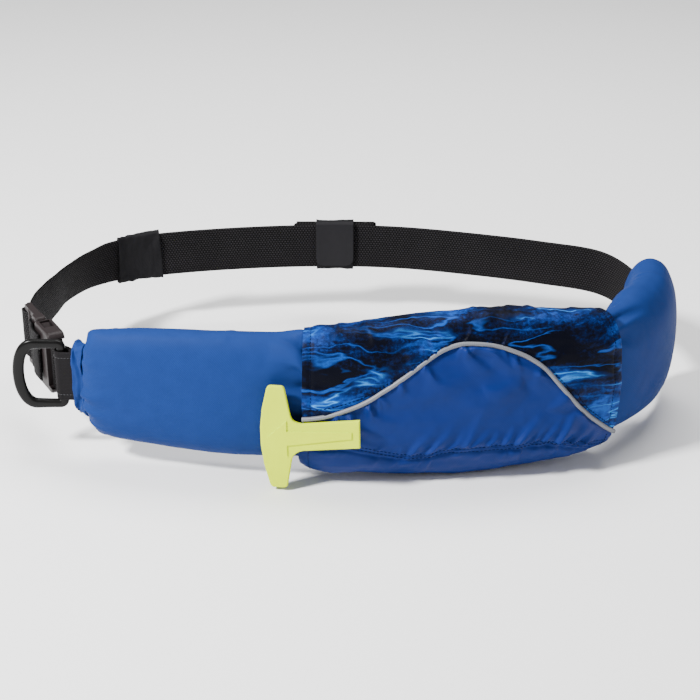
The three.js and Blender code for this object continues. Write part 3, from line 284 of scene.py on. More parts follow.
def folds(s, q, rows, waver=2.0, seed=3):
    """Ridges from (s0, q0) to (s1, q1): width, height, bend, and even or strongest at the start."""
    s = s + waver * noise(s / 14, q / 14, seed)
    q = q + waver * noise(s / 14 + 7, q / 14 + 3, seed + 1)
    total = np.zeros(np.broadcast(s, q).shape)
    for s0, q0, s1, q1, width, height, bend, even in rows:
        ds, dq = s1 - s0, q1 - q0
        length = math.hypot(ds, dq)
        t = ((s - s0) * ds + (q - q0) * dq) / length ** 2
        along = np.clip(t, 0, 1)
        across = ((s - s0) * dq - (q - q0) * ds) / length - bend * 4 * along * (1 - along)
        spread = width * (0.7 + 0.9 * along) * np.where(across > 0, 1.4, 0.55)
        strength = np.sin(math.pi * along) ** 0.8 if even else (1 - along) ** 1.1
        beyond = np.where(t < 0, bell(t * length / (1.2 * width)), 1.0)
        total += height * strength * beyond * bell(across / spread)
    return total


def from_edge(edge, rows):
    """Rows of folds whose stations are given from an edge."""
    return [(edge + s0, q0, edge + s1, q1, *rest) for s0, q0, s1, q1, *rest in rows]


# Meshes
MM = 0.001


def make_mesh(name, points, faces, uv):
    """A mesh object from points in millimetres, with its faces turned outwards."""
    mesh = bpy.data.meshes.new(name)
    mesh.from_pydata((np.asarray(points, float).reshape(-1, 3) * MM).tolist(), [], faces)
    if uv is not None:
        layer = mesh.uv_layers.new(name="cloth")
        loops = np.zeros(len(mesh.loops), np.int64)
        mesh.loops.foreach_get("vertex_index", loops)
        layer.data.foreach_set("uv", (uv[loops] * MM).astype(np.float32).ravel())
    mesh.polygons.foreach_set("use_smooth", [True] * len(mesh.polygons))
    mesh.update()
    turned = bmesh.new()
    turned.from_mesh(mesh)
    bmesh.ops.recalc_face_normals(turned, faces=turned.faces)
    turned.to_mesh(mesh)
    turned.free()
    obj = bpy.data.objects.new(name, mesh)
    bpy.context.scene.collection.objects.link(obj)
    return obj


def grid_faces(n, m, closed, base=0):
    columns = m if closed else m - 1
    i, j = np.meshgrid(np.arange(n - 1), np.arange(columns), indexing="ij")
    k = (j + 1) % m
    faces = np.stack([i * m + j, (i + 1) * m + j, (i + 1) * m + k, i * m + k], -1) + base
    return faces.reshape(-1, 4).tolist()


def end_caps(n, m, base=0):
    """The two faces that close a tube of n rings of m points."""
    return [[base + start + k for k in range(m)] for start in (0, (n - 1) * m)]


def grid_uv(s, q):
    return np.stack(np.broadcast_arrays(s, q), -1).astype(float).reshape(-1, 2)


def grid_normals(points, closed):
    if closed:
        across = np.roll(points, -1, 1) - np.roll(points, 1, 1)
    else:
        across = np.gradient(points, axis=1)
    return unit(np.cross(np.gradient(points, axis=0), across))


def girth(points, middle):
    """Distance round each loop from column middle."""
    steps = np.linalg.norm(np.diff(points, axis=1), axis=2)
    q = np.concatenate([np.zeros((len(points), 1)), np.cumsum(steps, 1)], 1)
    return q - q[:, middle:middle + 1]


def round_length(points):
    """Distance round each closed loop."""
    return np.cumsum(np.linalg.norm(np.diff(points, axis=1, append=points[:, :1]), axis=2), 1)


def give_wall(obj, thick, offset=-1, rim=RIM):
    """Gives a sheet its thickness and, with a rim, rounded edges."""
    wall = obj.modifiers.new("wall", "SOLIDIFY")
    wall.thickness = thick * MM
    wall.offset = offset
    if rim:
        round_off(obj, rim, 2)


def round_off(obj, width, segments):
    rim = obj.modifiers.new("rim", "BEVEL")
    rim.width = width * MM
    rim.segments = segments
    rim.limit_method = "ANGLE"
    return rim


# Materials: texture sizes in metres, because node textures work in them
THREAD, GLITTER = 0.00085, 0.0009


class Nodes:
    """A small helper that adds shader nodes and joins them."""

    def __init__(self, name):
        self.material = bpy.data.materials.new(name)
        self.material.use_nodes = True
        self.tree = self.material.node_tree
        self.shader = self.tree.nodes["Principled BSDF"]

    def put(self, socket, value):
        if isinstance(value, bpy.types.NodeSocket):
            self.tree.links.new(value, socket)
        else:
            socket.default_value = value

    def add(self, kind, output=0, inputs=None, **settings):
        node = self.tree.nodes.new(kind)
        for key, value in settings.items():
            setattr(node, key, value)
        for key, value in (inputs or {}).items():
            self.put(node.inputs[key], value)
        return node.outputs[output]

    def math(self, operation, a, b=0.0, c=0.0):
        return self.add("ShaderNodeMath", inputs={0: a, 1: b, 2: c}, operation=operation)

    def times(self, a, b, plus=0.0):
        return self.math("MULTIPLY_ADD", a, b, plus)

    def mix(self, share, a, b, blend="MIX"):
        node = self.tree.nodes.new("ShaderNodeMix")
        node.data_type = "RGBA"
        node.blend_type = blend
        self.put(node.inputs[0], share)
        self.put(node.inputs[6], a)
        self.put(node.inputs[7], b)
        return node.outputs[2]

    def ramp(self, value, stops):
        node = self.tree.nodes.new("ShaderNodeValToRGB")
        while len(node.color_ramp.elements) < len(stops):
            node.color_ramp.elements.new(0.5)
        for element, (place, color) in zip(node.color_ramp.elements, stops):
            element.position = place
            element.color = color
        self.put(node.inputs[0], value)
        return node.outputs[0]

    def noise(self, place, scale, detail=2.0, rough=0.5, distortion=0.0, output=0):
        return self.add(
            "ShaderNodeTexNoise", output,
            {"Vector": place, "Scale": scale, "Detail": detail, "Roughness": rough, "Distortion": distortion})

    def turned(self, place, angle, stretch=(1, 1)):
        inputs = {"Vector": place, "Rotation": (0, 0, angle), "Scale": (*stretch, 1)}
        return self.add("ShaderNodeMapping", inputs=inputs)

    def cloth_place(self, stretch=(1, 1)):
        return self.turned(self.add("ShaderNodeUVMap", uv_map="cloth"), 0, stretch)

    def split(self, place):
        return self.add("ShaderNodeSeparateXYZ", 0, {0: place}).node.outputs[:2]

    def bump(self, height, strength, distance):
        inputs = {"Height": height, "Strength": strength, "Distance": distance}
        return self.add("ShaderNodeBump", inputs=inputs)

    def finish(self, color, rough, normal, **more):
        self.put(self.shader.inputs["Base Color"], color)
        self.put(self.shader.inputs["Roughness"], rough)
        self.put(self.shader.inputs["Normal"], normal)
        for key, value in more.items():
            self.put(self.shader.inputs[key.replace("_", " ")], value)
        return self.material


def weave(n, pitch):
    """Plain weave: threads over and under in turn."""
    u, v = n.split(n.cloth_place((1 / pitch, 1 / pitch)))
    su = n.math("SINE", n.times(u, math.pi))
    sv = n.math("SINE", n.times(v, math.pi))
    return n.times(n.times(su, sv), 0.5, 0.5)


def shaded(color, share):
    return tuple(min(c * share, 1) for c in color) + (1,)


def nylon(name, color, print_color=None, rough=0.6, shine=0.06):
    n = Nodes(name)
    height = weave(n, THREAD)
    fine = n.noise(n.cloth_place(), 1500.0, 2.0, 0.5)
    if print_color:
        base = print_color(n)
    else:
        base = n.mix(n.noise(n.cloth_place(), 90.0, 3.0, 0.6), shaded(color, 0.86), shaded(color, 1.12))
    shade = n.mix(n.times(height, 0.35), (1, 1, 1, 1), (0.5, 0.58, 0.72, 1))
    base = n.mix(1.0, base, shade, "MULTIPLY")
    normal = n.bump(n.times(fine, 0.5, height), 0.4, 0.0002)
    return n.finish(base, rough, normal, Specular_IOR_Level=shine)


def ripples(n):
    """Dark water with light caught in it: blue haze and long thin streaks over near black."""
    place = n.cloth_place()
    warp = n.noise(place, 26.0, 3.0, 0.5, output=1)
    shift = n.add("ShaderNodeVectorMath", inputs={0: warp, 1: (0.028, 0.02, 0.0)}, operation="MULTIPLY")
    moved = n.add("ShaderNodeVectorMath", inputs={0: place, 1: shift}, operation="ADD")
    slanted = n.turned(moved, -0.12, (0.42, 1))
    streaked = n.turned(moved, -0.1, (0.2, 1))
    mottle = n.noise(place, 420.0, 4.0, 0.7)
    cloud = n.noise(slanted, 34.0, 5.0, 0.62)
    cloud = n.times(n.math("SUBTRACT", mottle, 0.5), 0.34, cloud)
    base = n.ramp(cloud, [
        (0.44, (0.0008, 0.0012, 0.005, 1)), (0.52, (0.0016, 0.006, 0.035, 1)),
        (0.60, (0.003, 0.026, 0.15, 1)), (0.72, (0.008, 0.085, 0.38, 1))])

    def streaks(scale, sharp, where, low, high):
        """Thin bright lines where a field crosses its middle, in patches."""
        field = n.noise(streaked, scale, 3.0, 0.5, 0.2)
        away = n.times(n.math("ABSOLUTE", n.math("SUBTRACT", field, 0.5)), sharp)
        line = n.math("MAXIMUM", n.math("SUBTRACT", 1.0, away), 0.0)
        patch = n.ramp(n.noise(slanted, where, 2.0, 0.5), [(low, (0, 0, 0, 1)), (high, (1, 1, 1, 1))])
        return n.times(n.math("POWER", line, 1.6), patch)

    grain = n.times(mottle, 1.1, 0.35)
    for layer, most, color in (
            (streaks(40, 20, 30, 0.46, 0.62), 0.55, (0.005, 0.06, 0.34, 1)),
            (streaks(64, 34, 22, 0.42, 0.6), 0.6, (0.008, 0.1, 0.5, 1)),
            (streaks(40, 80, 30, 0.5, 0.6), 0.92, (0.05, 0.34, 0.86, 1))):
        base = n.mix(n.math("MINIMUM", n.times(layer, grain), most), base, color)
    return base


def webbing(name, pitch=0.0024, across_pitch=0.0019, dark=0.001, light=0.028, strength=0.9):
    """Coarse webbing: rows of short floats, each row set off by half a float, coloured with painted
    highlights on the floats' tops and painted shade in the gaps between them.
    """
    n = Nodes(name)
    u, v = n.split(n.cloth_place((1 / pitch, 1 / across_pitch)))
    odd = n.math("MODULO", n.math("FLOOR", n.math("ADD", v, 400.0)), 2.0)
    along = n.math("FRACT", n.math("ADD", n.times(odd, 0.5, u), 400.0))
    across = n.math("FRACT", n.math("ADD", v, 400.0))
    hump = n.math("SINE", n.times(along, math.pi))
    height = n.times(hump, n.math("SINE", n.times(across, math.pi)))
    fuzz = n.noise(n.cloth_place(), 2600.0, 2.0, 0.6)
    # soft patches where the painted highlights on the floats are stronger
    glint_patches = n.noise(n.cloth_place(), 30.0, 3.0, 0.6)
    # painted highlight: lighter where the floats stand highest
    painted_glint = n.times(n.math("POWER", height, 1.5), n.times(fuzz, 0.8, 0.5))
    painted_glint = n.times(painted_glint, n.times(glint_patches, 0.7, 0.6))
    # dark is the painted shade in the gaps between floats, light the painted highlight on their tops
    base = n.mix(painted_glint, (dark, dark * 0.9, dark, 1), (light, light * 0.92, light, 1))
    normal = n.bump(n.times(fuzz, 0.15, n.math("POWER", height, 0.6)), strength, 0.0007)
    return n.finish(base, 0.75, normal, Specular_IOR_Level=0.08)


def plastic(name, color, rough=0.38, grain=0.12, shine=0.35):
    n = Nodes(name)
    place = n.add("ShaderNodeTexCoord", 3)
    soft = n.noise(place, 60.0, 3.0, 0.5)
    fine = n.noise(place, 2200.0, 2.0, 0.5)
    base = n.mix(soft, shaded(color, 0.92), shaded(color, 1.06))
    normal = n.bump(fine, grain, 0.0001)
    return n.finish(base, n.times(soft, 0.12, rough - 0.06), normal, Specular_IOR_Level=shine)


def reflective(name):
    """Silver tape with a fine diamond grid."""
    n = Nodes(name)
    place = n.turned(n.cloth_place((1 / GLITTER, 1 / GLITTER)), math.pi / 4)
    check = n.add("ShaderNodeTexChecker", 1, {"Vector": place, "Scale": 1.0})
    base = n.mix(check, (0.165, 0.17, 0.19, 1), (0.125, 0.13, 0.15, 1))
    return n.finish(base, 0.5, n.bump(check, 0.12, 0.0001), Metallic=0.1)


BLUE = (0.0095, 0.033, 0.152)
POCKET_BLUE = (0.003, 0.018, 0.128)
sleeve_cloth = nylon("sleeve_cloth", BLUE)
pocket_cloth = nylon("pocket_cloth", POCKET_BLUE, rough=0.5, shine=0.12)
print_cloth = nylon("print_cloth", POCKET_BLUE, ripples, rough=0.5)
black_web = webbing("black_webbing")
loop_web = webbing("loop_webbing", 0.0011, 0.0011, 0.006, 0.016, 0.35)
keeper_cloth = nylon("keeper_cloth", (0.007, 0.0065, 0.0075), rough=0.75, shine=0.12)
silver = reflective("reflective_silver")
ring_plastic = plastic("ring_plastic", (0.003, 0.0028, 0.0028), 0.3, 0.2, 0.16)
buckle_plastic = plastic("buckle_plastic", (0.017, 0.013, 0.0135), 0.44, 0.25, 0.14)
keeper_coat = plastic("keeper_coat", (0.012, 0.0115, 0.013), 0.6, 0.3, 0.1)
handle_plastic = plastic("handle_plastic", (0.63, 0.77, 0.002), 0.5, 0.2, 0.02)
cell_coat = nylon("cell_coat", (0.6, 0.5, 0.08))
dark_thread = plastic("dark_thread", (0.0025, 0.004, 0.012), 0.8, 0.12, 0.05)
hem_thread = plastic("hem_thread", (0.003, 0.008, 0.04), 0.8, 0.12, 0.05)
black_thread = plastic("black_thread", (0.05, 0.05, 0.053), 0.7, 0.12, 0.1)


def dress(obj, material):
    obj.data.materials.clear()
    obj.data.materials.append(material)


def piece(name, points, faces, uv, material, node=None, body="pack"):
    """A visual piece that rides on a body and may replace a CAD node."""
    obj = make_mesh(name, points, faces, uv)
    dress(obj, material)
    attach(obj, body)
    if node:
        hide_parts(node)
    return obj


# Sleeve
def end_rows(edge, sign, up, out, angle):
    """Rows that close the sleeve's end round the webbing."""
    share = np.linspace(0, 1, END_ROWS + 1)[1:]
    slit_up, slit_out = cushion(angle, SLIT_HEIGHT / 2, SLIT_HEIGHT / 2, SLIT_THICK / 2, SLIT_POWER)
    closing = share[:, None]
    return (edge + sign * END_BULGE * np.sin(share * math.pi),
            up + (slit_up - up) * closing, out + (slit_out - out) * closing)


def sleeve_folds():
    rows = []
    # gathers that run out of the cuff, all round
    for _ in range(22):
        start = 60 * rng.uniform(-1, 1)
        rows.append((SLEEVE_LEFT - 2, start, SLEEVE_LEFT + rng.uniform(9, 30), start * rng.uniform(1.05, 1.5),
                     rng.uniform(2.2, 4.2), rng.uniform(1.0, 2.6), rng.uniform(-2, 2), 0))
    # pulls beside the cover on the left, and the fold below its upper corner
    for _ in range(9):
        start = rng.uniform(-44, 44)
        rows.append((COVER_LEFT + 2, start, COVER_LEFT - rng.uniform(12, 40), start + rng.uniform(-14, 8),
                     rng.uniform(2.5, 5), rng.uniform(0.6, 1.6), rng.uniform(-4, 4), 0))
    rows += from_edge(COVER_LEFT, [
        (2, 50, -22, 60, 6, 3.4, 2, 0), (2, 36, -26, 52, 5, -5.0, 3, 0), (2, 26, -24, 34, 5, 4.6, 3, 0),
        (2, 14, -20, 20, 5, -4.0, -3, 0), (2, 2, -22, 8, 5, 3.4, 2, 0),
        (-143, 45, -22, 50, 9, 1.2, 2, 1), (-127, -8, -37, -20, 24, 1.0, -8, 1)])
    rows += from_edge(COVER_RIGHT, [
        (2, 54, 40, 50, 4, 2.6, -3, 0), (2, 46, 42, 42, 4, -3.4, -3, 0), (2, 38, 44, 36, 4, 3.0, -3, 0),
        (4, 28, 30, 18, 6, 1.6, 2, 0), (30, 34, 96, 42, 18, 1.2, 5, 1), (34, -30, 88, -22, 14, 1.2, -5, 1)])
    # creases on the wearer's side, where the pad bends
    for _ in range(26):
        place = rng.uniform(SLEEVE_LEFT + 15, SLEEVE_RIGHT - 12)
        side = rng.choice([-1, 1])
        start = side * rng.uniform(70, 112)
        rows.append((place, start, place + rng.uniform(-9, 9), start + side * -rng.uniform(14, 34),
                     rng.uniform(1.6, 3.4), rng.uniform(0.35, 0.95), rng.uniform(-2, 2), 1))
    return rows


def build_sleeve():
    m = 168
    angle = (np.arange(m + 1) / m * 2 - 1)[None] * math.pi
    s = np.arange(SLEEVE_LEFT, SLEEVE_RIGHT + 0.1, SLEEVE_STEP)
    up, out = sleeve_point(s[:, None], angle)
    # the pad rounds off towards the cuff
    rounded = 1 - np.clip((s[:, None] - SLEEVE_LEFT) / END_RUN, 0, 1)
    up = up * (1 - END_ROUNDING * (1 - np.sqrt(1 - rounded ** 2)))
    left = end_rows(SLEEVE_LEFT, -1, up[0], out[0], angle)
    right = end_rows(SLEEVE_RIGHT, 1, up[-1], out[-1], angle)
    s_all, up, out = (np.concatenate([a[::-1], b, c]) for a, b, c in zip(left, (s, up, out), right))
    base = sweep(s_all, up, out)
    q = girth(base, m // 2)
    s_grid = np.broadcast_to(s_all[:, None], q.shape)
    # on the right the pad swells towards the wearer
    inner = smooth((13 - out) / 26) * smooth((up + 20) / 50)
    full = smooth((s_grid - COVER_RIGHT - 4) / 45) * smooth((SLEEVE_RIGHT + 1 - s_grid) / 14)
    lift = folds(s_grid, q, sleeve_folds())
    lift += 7.5 * inner * full
    lift += 0.45 * layered(s_grid / 46, q / 30, 11) + 0.07 * layered(s_grid / 11, q / 8, 12)
    # behind the cover the pad stays plain
    hidden = (s_grid > COVER_LEFT + 8) & (s_grid < COVER_RIGHT - 8) & (np.abs(q) < q[:, -1:] * 0.62)
    lift = np.where(hidden, -0.3, lift)
    edge = smooth(np.minimum(s_grid - SLEEVE_LEFT, SLEEVE_RIGHT - s_grid) / 3)
    points = base + grid_normals(base, False) * (lift * edge - 0.3)[..., None]
    points[:, 0] = (points[:, 0] + points[:, -1]) / 2
    uv = grid_uv(s_grid[:, :-1], q[:, :-1])
    obj = piece("sleeve_cloth", points[:, :-1], grid_faces(len(s_all), m, True), uv,
                sleeve_cloth, "sleeve")


# Cuff
def build_cuff():
    """Gathered cloth with a rolled lip, turned back inside."""
    m = 144
    angle = (np.arange(m) / m)[None] * math.tau
    middle = (WEB_IN + WEB_THICK / 2 + CLEAR + 2 * WEB_THICK + CLEAR) / 2
    # shares of the way to the lip, then how far the lip is turned back
    at = np.concatenate([np.linspace(-0.12, 1, 26), np.full(4, 1.0)])
    turn = np.concatenate([np.zeros(26), np.linspace(0.25, 1, 4)])
    s = CUFF_RIGHT - at * CUFF_LENGTH - 0.9 * np.sin(turn * math.pi)
    half = read(CUFF_ROWS, 1, at)[:, None] * CUFF_HEIGHT / 2
    thick = (read(CUFF_ROWS, 2, at) * CUFF_THICK / 2 * (1 - 0.22 * turn))[:, None]
    tall = half * (1 - 0.1 * turn)[:, None]
    up, out = cushion(angle, tall, tall, thick, SLEEVE_POWER)
    waist = bell((at[:, None] - 0.45) / 0.28)
    pleats = (np.sin(angle * 9 + 1.1 * np.sin(at[:, None] * 3.2) + 0.8 * np.sin(angle * 2)) * 0.75
              + np.sin(angle * 23 + at[:, None] * 2.4) * 0.28)
    # in front one bowed ridge runs from the lip's top to the sleeve and back to the lip's foot
    rise = up / half
    bow = 0.8 * (1 - np.clip((rise + 0.05) / 0.95, -1, 1) ** 2) + 0.08
    beyond = 1 - at[:, None] - bow
    ridge = 1.7 * bell(beyond / 0.2) - 1.9 * smooth((beyond - 0.08) / 0.35)
    lift = pleats * (0.35 + 0.3 * waist) - 0.7 * waist + smooth(out / 4) * ridge
    lift = lift * (1 - 0.7 * turn)[:, None]
    base = sweep(s, up, out + middle)
    pull = 2.6 * np.clip(at[:, None], 0, 1) ** 2 * (1 - np.clip(rise, -1, 1) ** 2)
    along = sweep(s + 1, up, out + middle) - base
    points = base + grid_normals(base, True) * lift[..., None] + along * pull[..., None]
    uv = grid_uv(s[:, None], round_length(points))
    obj = piece("cuff_cloth", points, grid_faces(len(s), m, True), uv,
                sleeve_cloth, "sleeve_cuff")
    give_wall(obj, 0.9, rim=None)


# Cover panels
class Panel:
    """A cover panel's outer face as a grid over station and share of the way between its edges."""

    def __init__(self, low, high, columns, lift):
        self.s = np.arange(COVER_LEFT, COVER_RIGHT + 0.01, PANEL_STEP)
        share = np.linspace(0, 1, columns)[None]
        a, b = low(self.s)[:, None], high(self.s)[:, None]
        self.angle = a + (b - a) * share
        up, out = cover_point(self.s[:, None], self.angle)
        base = sweep(self.s, up, out)
        # distance round the cloth, from the cover's front
        whole = np.linspace(-LIP, LIP, 241)
        reach = girth(sweep(self.s, *cover_point(self.s[:, None], whole[None])), 120)
        self.q = np.stack([np.interp(a, whole, r) for a, r in zip(self.angle, reach)])
        self.station = np.broadcast_to(self.s[:, None], self.q.shape)
        normal = grid_normals(base, False)
        outward = unit(base - sweep(self.s, np.zeros_like(up), np.zeros_like(out)))
        normal *= np.sign((normal * outward).sum(-1, keepdims=True).mean())
        self.points = base + normal * lift(self.station, self.q, up)[..., None]
        # the left edge sags outwards near its foot
        foot = bell((up + 38) / 13) * bell((self.station - COVER_LEFT) / 7)
        self.points -= ring(self.s)[1][:, None] * (3.5 * foot)[..., None]
        self.normal = grid_normals(self.points, False)
        self.normal *= np.sign((self.normal * outward).sum(-1, keepdims=True).mean())

    def at(self, s, column):
        """Point and normal at fractional stations and columns."""
        i = np.clip((s - COVER_LEFT) / PANEL_STEP, 0, len(self.s) - 1.001)
        j = np.clip(column, 0, self.points.shape[1] - 1.001)
        i0, j0 = i.astype(int), j.astype(int)
        fi, fj = (i - i0)[:, None], (j - j0)[:, None]

        def blend(g):
            return ((g[i0, j0] * (1 - fi) + g[i0 + 1, j0] * fi) * (1 - fj)
                    + (g[i0, j0 + 1] * (1 - fi) + g[i0 + 1, j0 + 1] * fi) * fj)
        return blend(self.points), unit(blend(self.normal))

    def row_of(self, s):
        return np.clip(((s - COVER_LEFT) / PANEL_STEP).round().astype(int), 0, len(self.s) - 1)

    def column_of(self, s, angle):
        """The column where a line at the given angle crosses each station."""
        i = self.row_of(s)
        first, last = self.angle[i, 0], self.angle[i, -1]
        return (angle - first) / (last - first) * (self.angle.shape[1] - 1)

    def column_below(self, s, column, distance):
        """The column a distance of cloth below the given one at each station."""
        columns = np.arange(self.q.shape[1])
        return np.array([np.interp(np.interp(c, columns, q) - distance, q, columns)
                         for q, c in zip(self.q[self.row_of(s)], column)])

    def build(self, name, material, node):
        n, m = self.points.shape[:2]
        uv = grid_uv(self.station, self.q)
        obj = piece(name, self.points, grid_faces(n, m, False), uv, material, node)
        probe = obj.data.polygons[n // 2 * (m - 1) + m // 2]
        if probe.normal.dot(Vector(self.normal[n // 2, m // 2])) < 0:
            obj.data.flip_normals()
        give_wall(obj, 1.4)


def arch_edge(s, side):
    """Where a panel meets the piping: just under its rim."""
    middle = arch_angle(s)
    u0, o0 = cover_point(s, middle - 0.02)
    u1, o1 = cover_point(s, middle + 0.02)
    rate = np.hypot(u1 - u0, o1 - o0) / 0.04
    ahead = sweep(s + 1, *(v[:, None] for v in cover_point(s + 1, arch_angle(s + 1))))[:, 0]
    behind = sweep(s - 1, *(v[:, None] for v in cover_point(s - 1, arch_angle(s - 1))))[:, 0]
    slant = np.maximum(np.linalg.norm(ahead - behind, axis=1) / 2, 1)
    return middle + side * 0.9 * slant / rate


def seam_dip(distance, width=2.2, depth=0.7):
    """Cloth pulled down beside a seam."""
    return -depth * bell(distance / width)


def creases(count, first, last, line, shift, run, rise, width, height, bend, ways=(1, 1)):
    """Short folds that start beside a line between two stations."""
    found = []
    for _ in range(count):
        s0 = rng.uniform(first, last)
        q0 = line(s0)
        found.append((s0, q0 + shift, s0 + ways[0] * rng.uniform(*run), q0 + ways[1] * rng.uniform(*rise),
                      rng.uniform(*width), rng.uniform(*height), rng.uniform(*bend), 0))
    return found


def line_at(s, q):
    return lambda s0: float(np.interp(s0, s, q))


def yoke_lift(s, q, _up):
    from_arch = q - q[:, :1]
    rows = from_edge(COVER_LEFT, [
        (-2, 4, 28, 12, 4.0, 2.6, 2, 0), (-2, 16, 22, 14, 3.4, 1.8, -2, 0), (-2, -8, 34, -6, 4.0, 1.8, 2, 0),
        (50, 30, 96, 52, 7, 1.8, 3, 1), (66, 24, 92, 40, 5, 1.6, 2, 1), (96, 46, 84, 64, 4, 1.6, 2, 0)])
    rows += from_edge(COVER_RIGHT, [
        (-8, 34, -58, 50, 7, 1.6, 3, 0), (-4, 4, -30, 20, 5, 1.6, 3, 0), (-46, 26, -30, 44, 5, 1.6, 2, 0)])
    rows += creases(16, COVER_LEFT + 6, COVER_RIGHT - 6, line_at(s[:, 0], q[:, 0]), 1,
                    (-8, 10), (8, 20), (1.6, 2.8), (0.6, 1.4), (-1, 1))
    for _ in range(20):
        s0 = rng.uniform(COVER_LEFT + 10, COVER_RIGHT - 10)
        rows.append((s0, rng.uniform(46, 66), s0 + rng.uniform(-10, 10), rng.uniform(72, 90),
                     rng.uniform(2, 4), rng.uniform(0.5, 1.2), rng.uniform(-2, 2), 1))
    lift = folds(s, q, rows, seed=21)
    lift += 0.6 * layered(s / 30, q / 20, 31) + 0.12 * layered(s / 9, q / 7, 33)
    lift += seam_dip(from_arch, 2.0, 0.6) + seam_dip(from_arch - 3.2, 1.1, 0.45)
    lift += seam_dip(s - COVER_LEFT - EDGE_STITCHES_IN, 1.2, 0.5)
    return lift + seam_dip(COVER_RIGHT - s - EDGE_STITCHES_IN, 1.2, 0.4)


def pocket_lift(s, q, up):
    from_arch = q[:, -1:] - q
    hem_up = read(HEM_ROWS, 1, (s[:, 0] - COVER_MIDDLE) / COVER_LENGTH) * COVER_HEIGHT / 2
    hem = np.array([np.interp(h, u, v) for h, u, v in zip(hem_up, up, q)])
    hem_at = line_at(s[:, 0], hem)
    rows = [
        (-8, 41, 12, 21, 4.2, 3.0, 2, 0),
        (-3, 42, 28, 30, 3.2, 2.6, -3, 0),
        (8, 39, 40, 20, 4.0, 2.4, 2, 0),
        (26, 33, 54, 10, 4.2, 2.4, -2, 0),
        (44, 22, 68, 2, 3.4, 2.2, -2, 0),
        (-34, 28, -12, 10, 5.0, 2.0, 2, 0),
        (-76, 2, -54, -12, 4.4, 2.4, 2, 0),
        (-88, -6, -64, -24, 3.6, 2.8, 1, 0),
        (-100, -20, -64, -34, 4.0, 2.6, -2, 0),
        (-48, -38, -26, -6, 5.0, 2.8, 2, 0),
        (-14, -34, 6, 4, 5.0, 2.6, 3, 0),
        (2, 12, 30, 22, 7.0, 1.6, 3, 1),
        (50, -8, 70, 12, 5.0, 2.0, 2, 1),
    ]
    for s0, ds, dq, width, height in (
            (-34, 20, 29, 4.4, 3.4), (-20, 14, 20, 3.6, 2.8), (-6, 19, 17, 3.6, 2.4), (6, 9, 14, 3.2, 2.6),
            (17, 12, 18, 3.6, 2.6), (28, 22, 28, 4.6, 3.8), (39, 14, 18, 3.2, 2.8), (48, 13, 22, 3.8, 3.2),
            (57, 17, 34, 4.6, 4.4), (66, 13, 24, 3.8, 3.4), (74, 10, 16, 3.0, 3.0), (83, 8, 11, 3.0, 2.6)):
        rows.append((s0, hem_at(s0) + 2, s0 + ds, hem_at(s0) + dq, width, height, 1.5, 0))
    rows += creases(16, COVER_LEFT + 40, COVER_RIGHT - 4, hem_at, 1,
                    (2, 9), (6, 14), (1.6, 2.6), (0.6, 1.4), (-1, 2))
    rows += creases(30, COVER_LEFT + 6, COVER_RIGHT - 16, hem_at, -4,
                    (2, 9), (14, 24), (3.0, 4.6), (0.4, 1.2), (-1, 1), ways=(-1, -1))
    rows += creases(16, COVER_LEFT + 16, COVER_RIGHT - 10, line_at(s[:, 0], q[:, -1]), -1,
                    (-3, 12), (8, 20), (1.8, 3.0), (0.7, 1.6), (-1, 1), ways=(1, -1))
    below = hem[:, None] - q
    lift = 1.35 * folds(s, q, rows, seed=41)
    lift *= 1 - 0.6 * smooth((8 - below) / 5) * smooth((5 + below) / 5)
    lift = np.where(below > 3, np.minimum(lift, 1.8 + 0.3 * (lift - 1.8)), lift)
    lift += 0.9 * layered(s / 26, q / 18, 51) + 0.16 * layered(s / 9, q / 7, 53)
    lift += seam_dip(from_arch, 2.0, 0.6) + 0.6 * smooth((below - 2) / 4)
    return lift + seam_dip(below, 1.0, 0.8) + seam_dip(below - HEM_ROWS_APART, 1.0, 0.8)


yoke = Panel(lambda s: arch_edge(s, 1), lambda s: np.full(len(s), LIP), 116, yoke_lift)
pocket = Panel(lambda s: np.full(len(s), -LIP), lambda s: arch_edge(s, -1), 128, pocket_lift)


def build_cell():
    """The folded air cell: soft rolls in front of the sleeve's pad, inside the cover."""
    inset = COVER_WALL + CLEAR + PAD_SLACK + CLEAR
    s = np.arange(COVER_LEFT + PAD_RUN, COVER_RIGHT - PAD_RUN + 0.1, 2.0)
    up, out = cover_point(s[:, None], np.linspace(-math.pi / 2, math.pi / 2, 72)[None], inset)
    share = np.linspace(0, 1, 26)[None, 1:-1]
    back_up = 0.95 * (up[:, -1:] * (1 - share) + up[:, :1] * share)
    up = np.concatenate([up, back_up], 1)
    out = np.concatenate([out, np.full(back_up.shape, PAD_FRONT + CLEAR)], 1)
    rolls = 0.5 * (1 + np.cos(up / 7.5)) * (out > PAD_FRONT + 4)
    out = out - rolls
    mid_up, mid_out = up.mean(1, keepdims=True), (out.max(1, keepdims=True) + PAD_FRONT) / 2
    grow = smooth(np.minimum(s - s[0], s[-1] - s) / 5 + 0.02)[:, None] ** 0.5
    points = sweep(s, mid_up + (up - mid_up) * grow, mid_out + (out - mid_out) * grow)
    n, m = up.shape
    faces = grid_faces(n, m, True) + end_caps(n, m)
    obj = piece("cell_folds", points, faces, grid_uv(s[:, None], up), cell_coat, "packed_cell")


def tube(centres, side, over, radii, sides):
    """Rings of points round a line."""
    a = (np.arange(sides) / sides * math.tau)[None, :, None]
    return centres[:, None] + radii[:, None, None] * (side[:, None] * np.cos(a) + over[:, None] * np.sin(a))


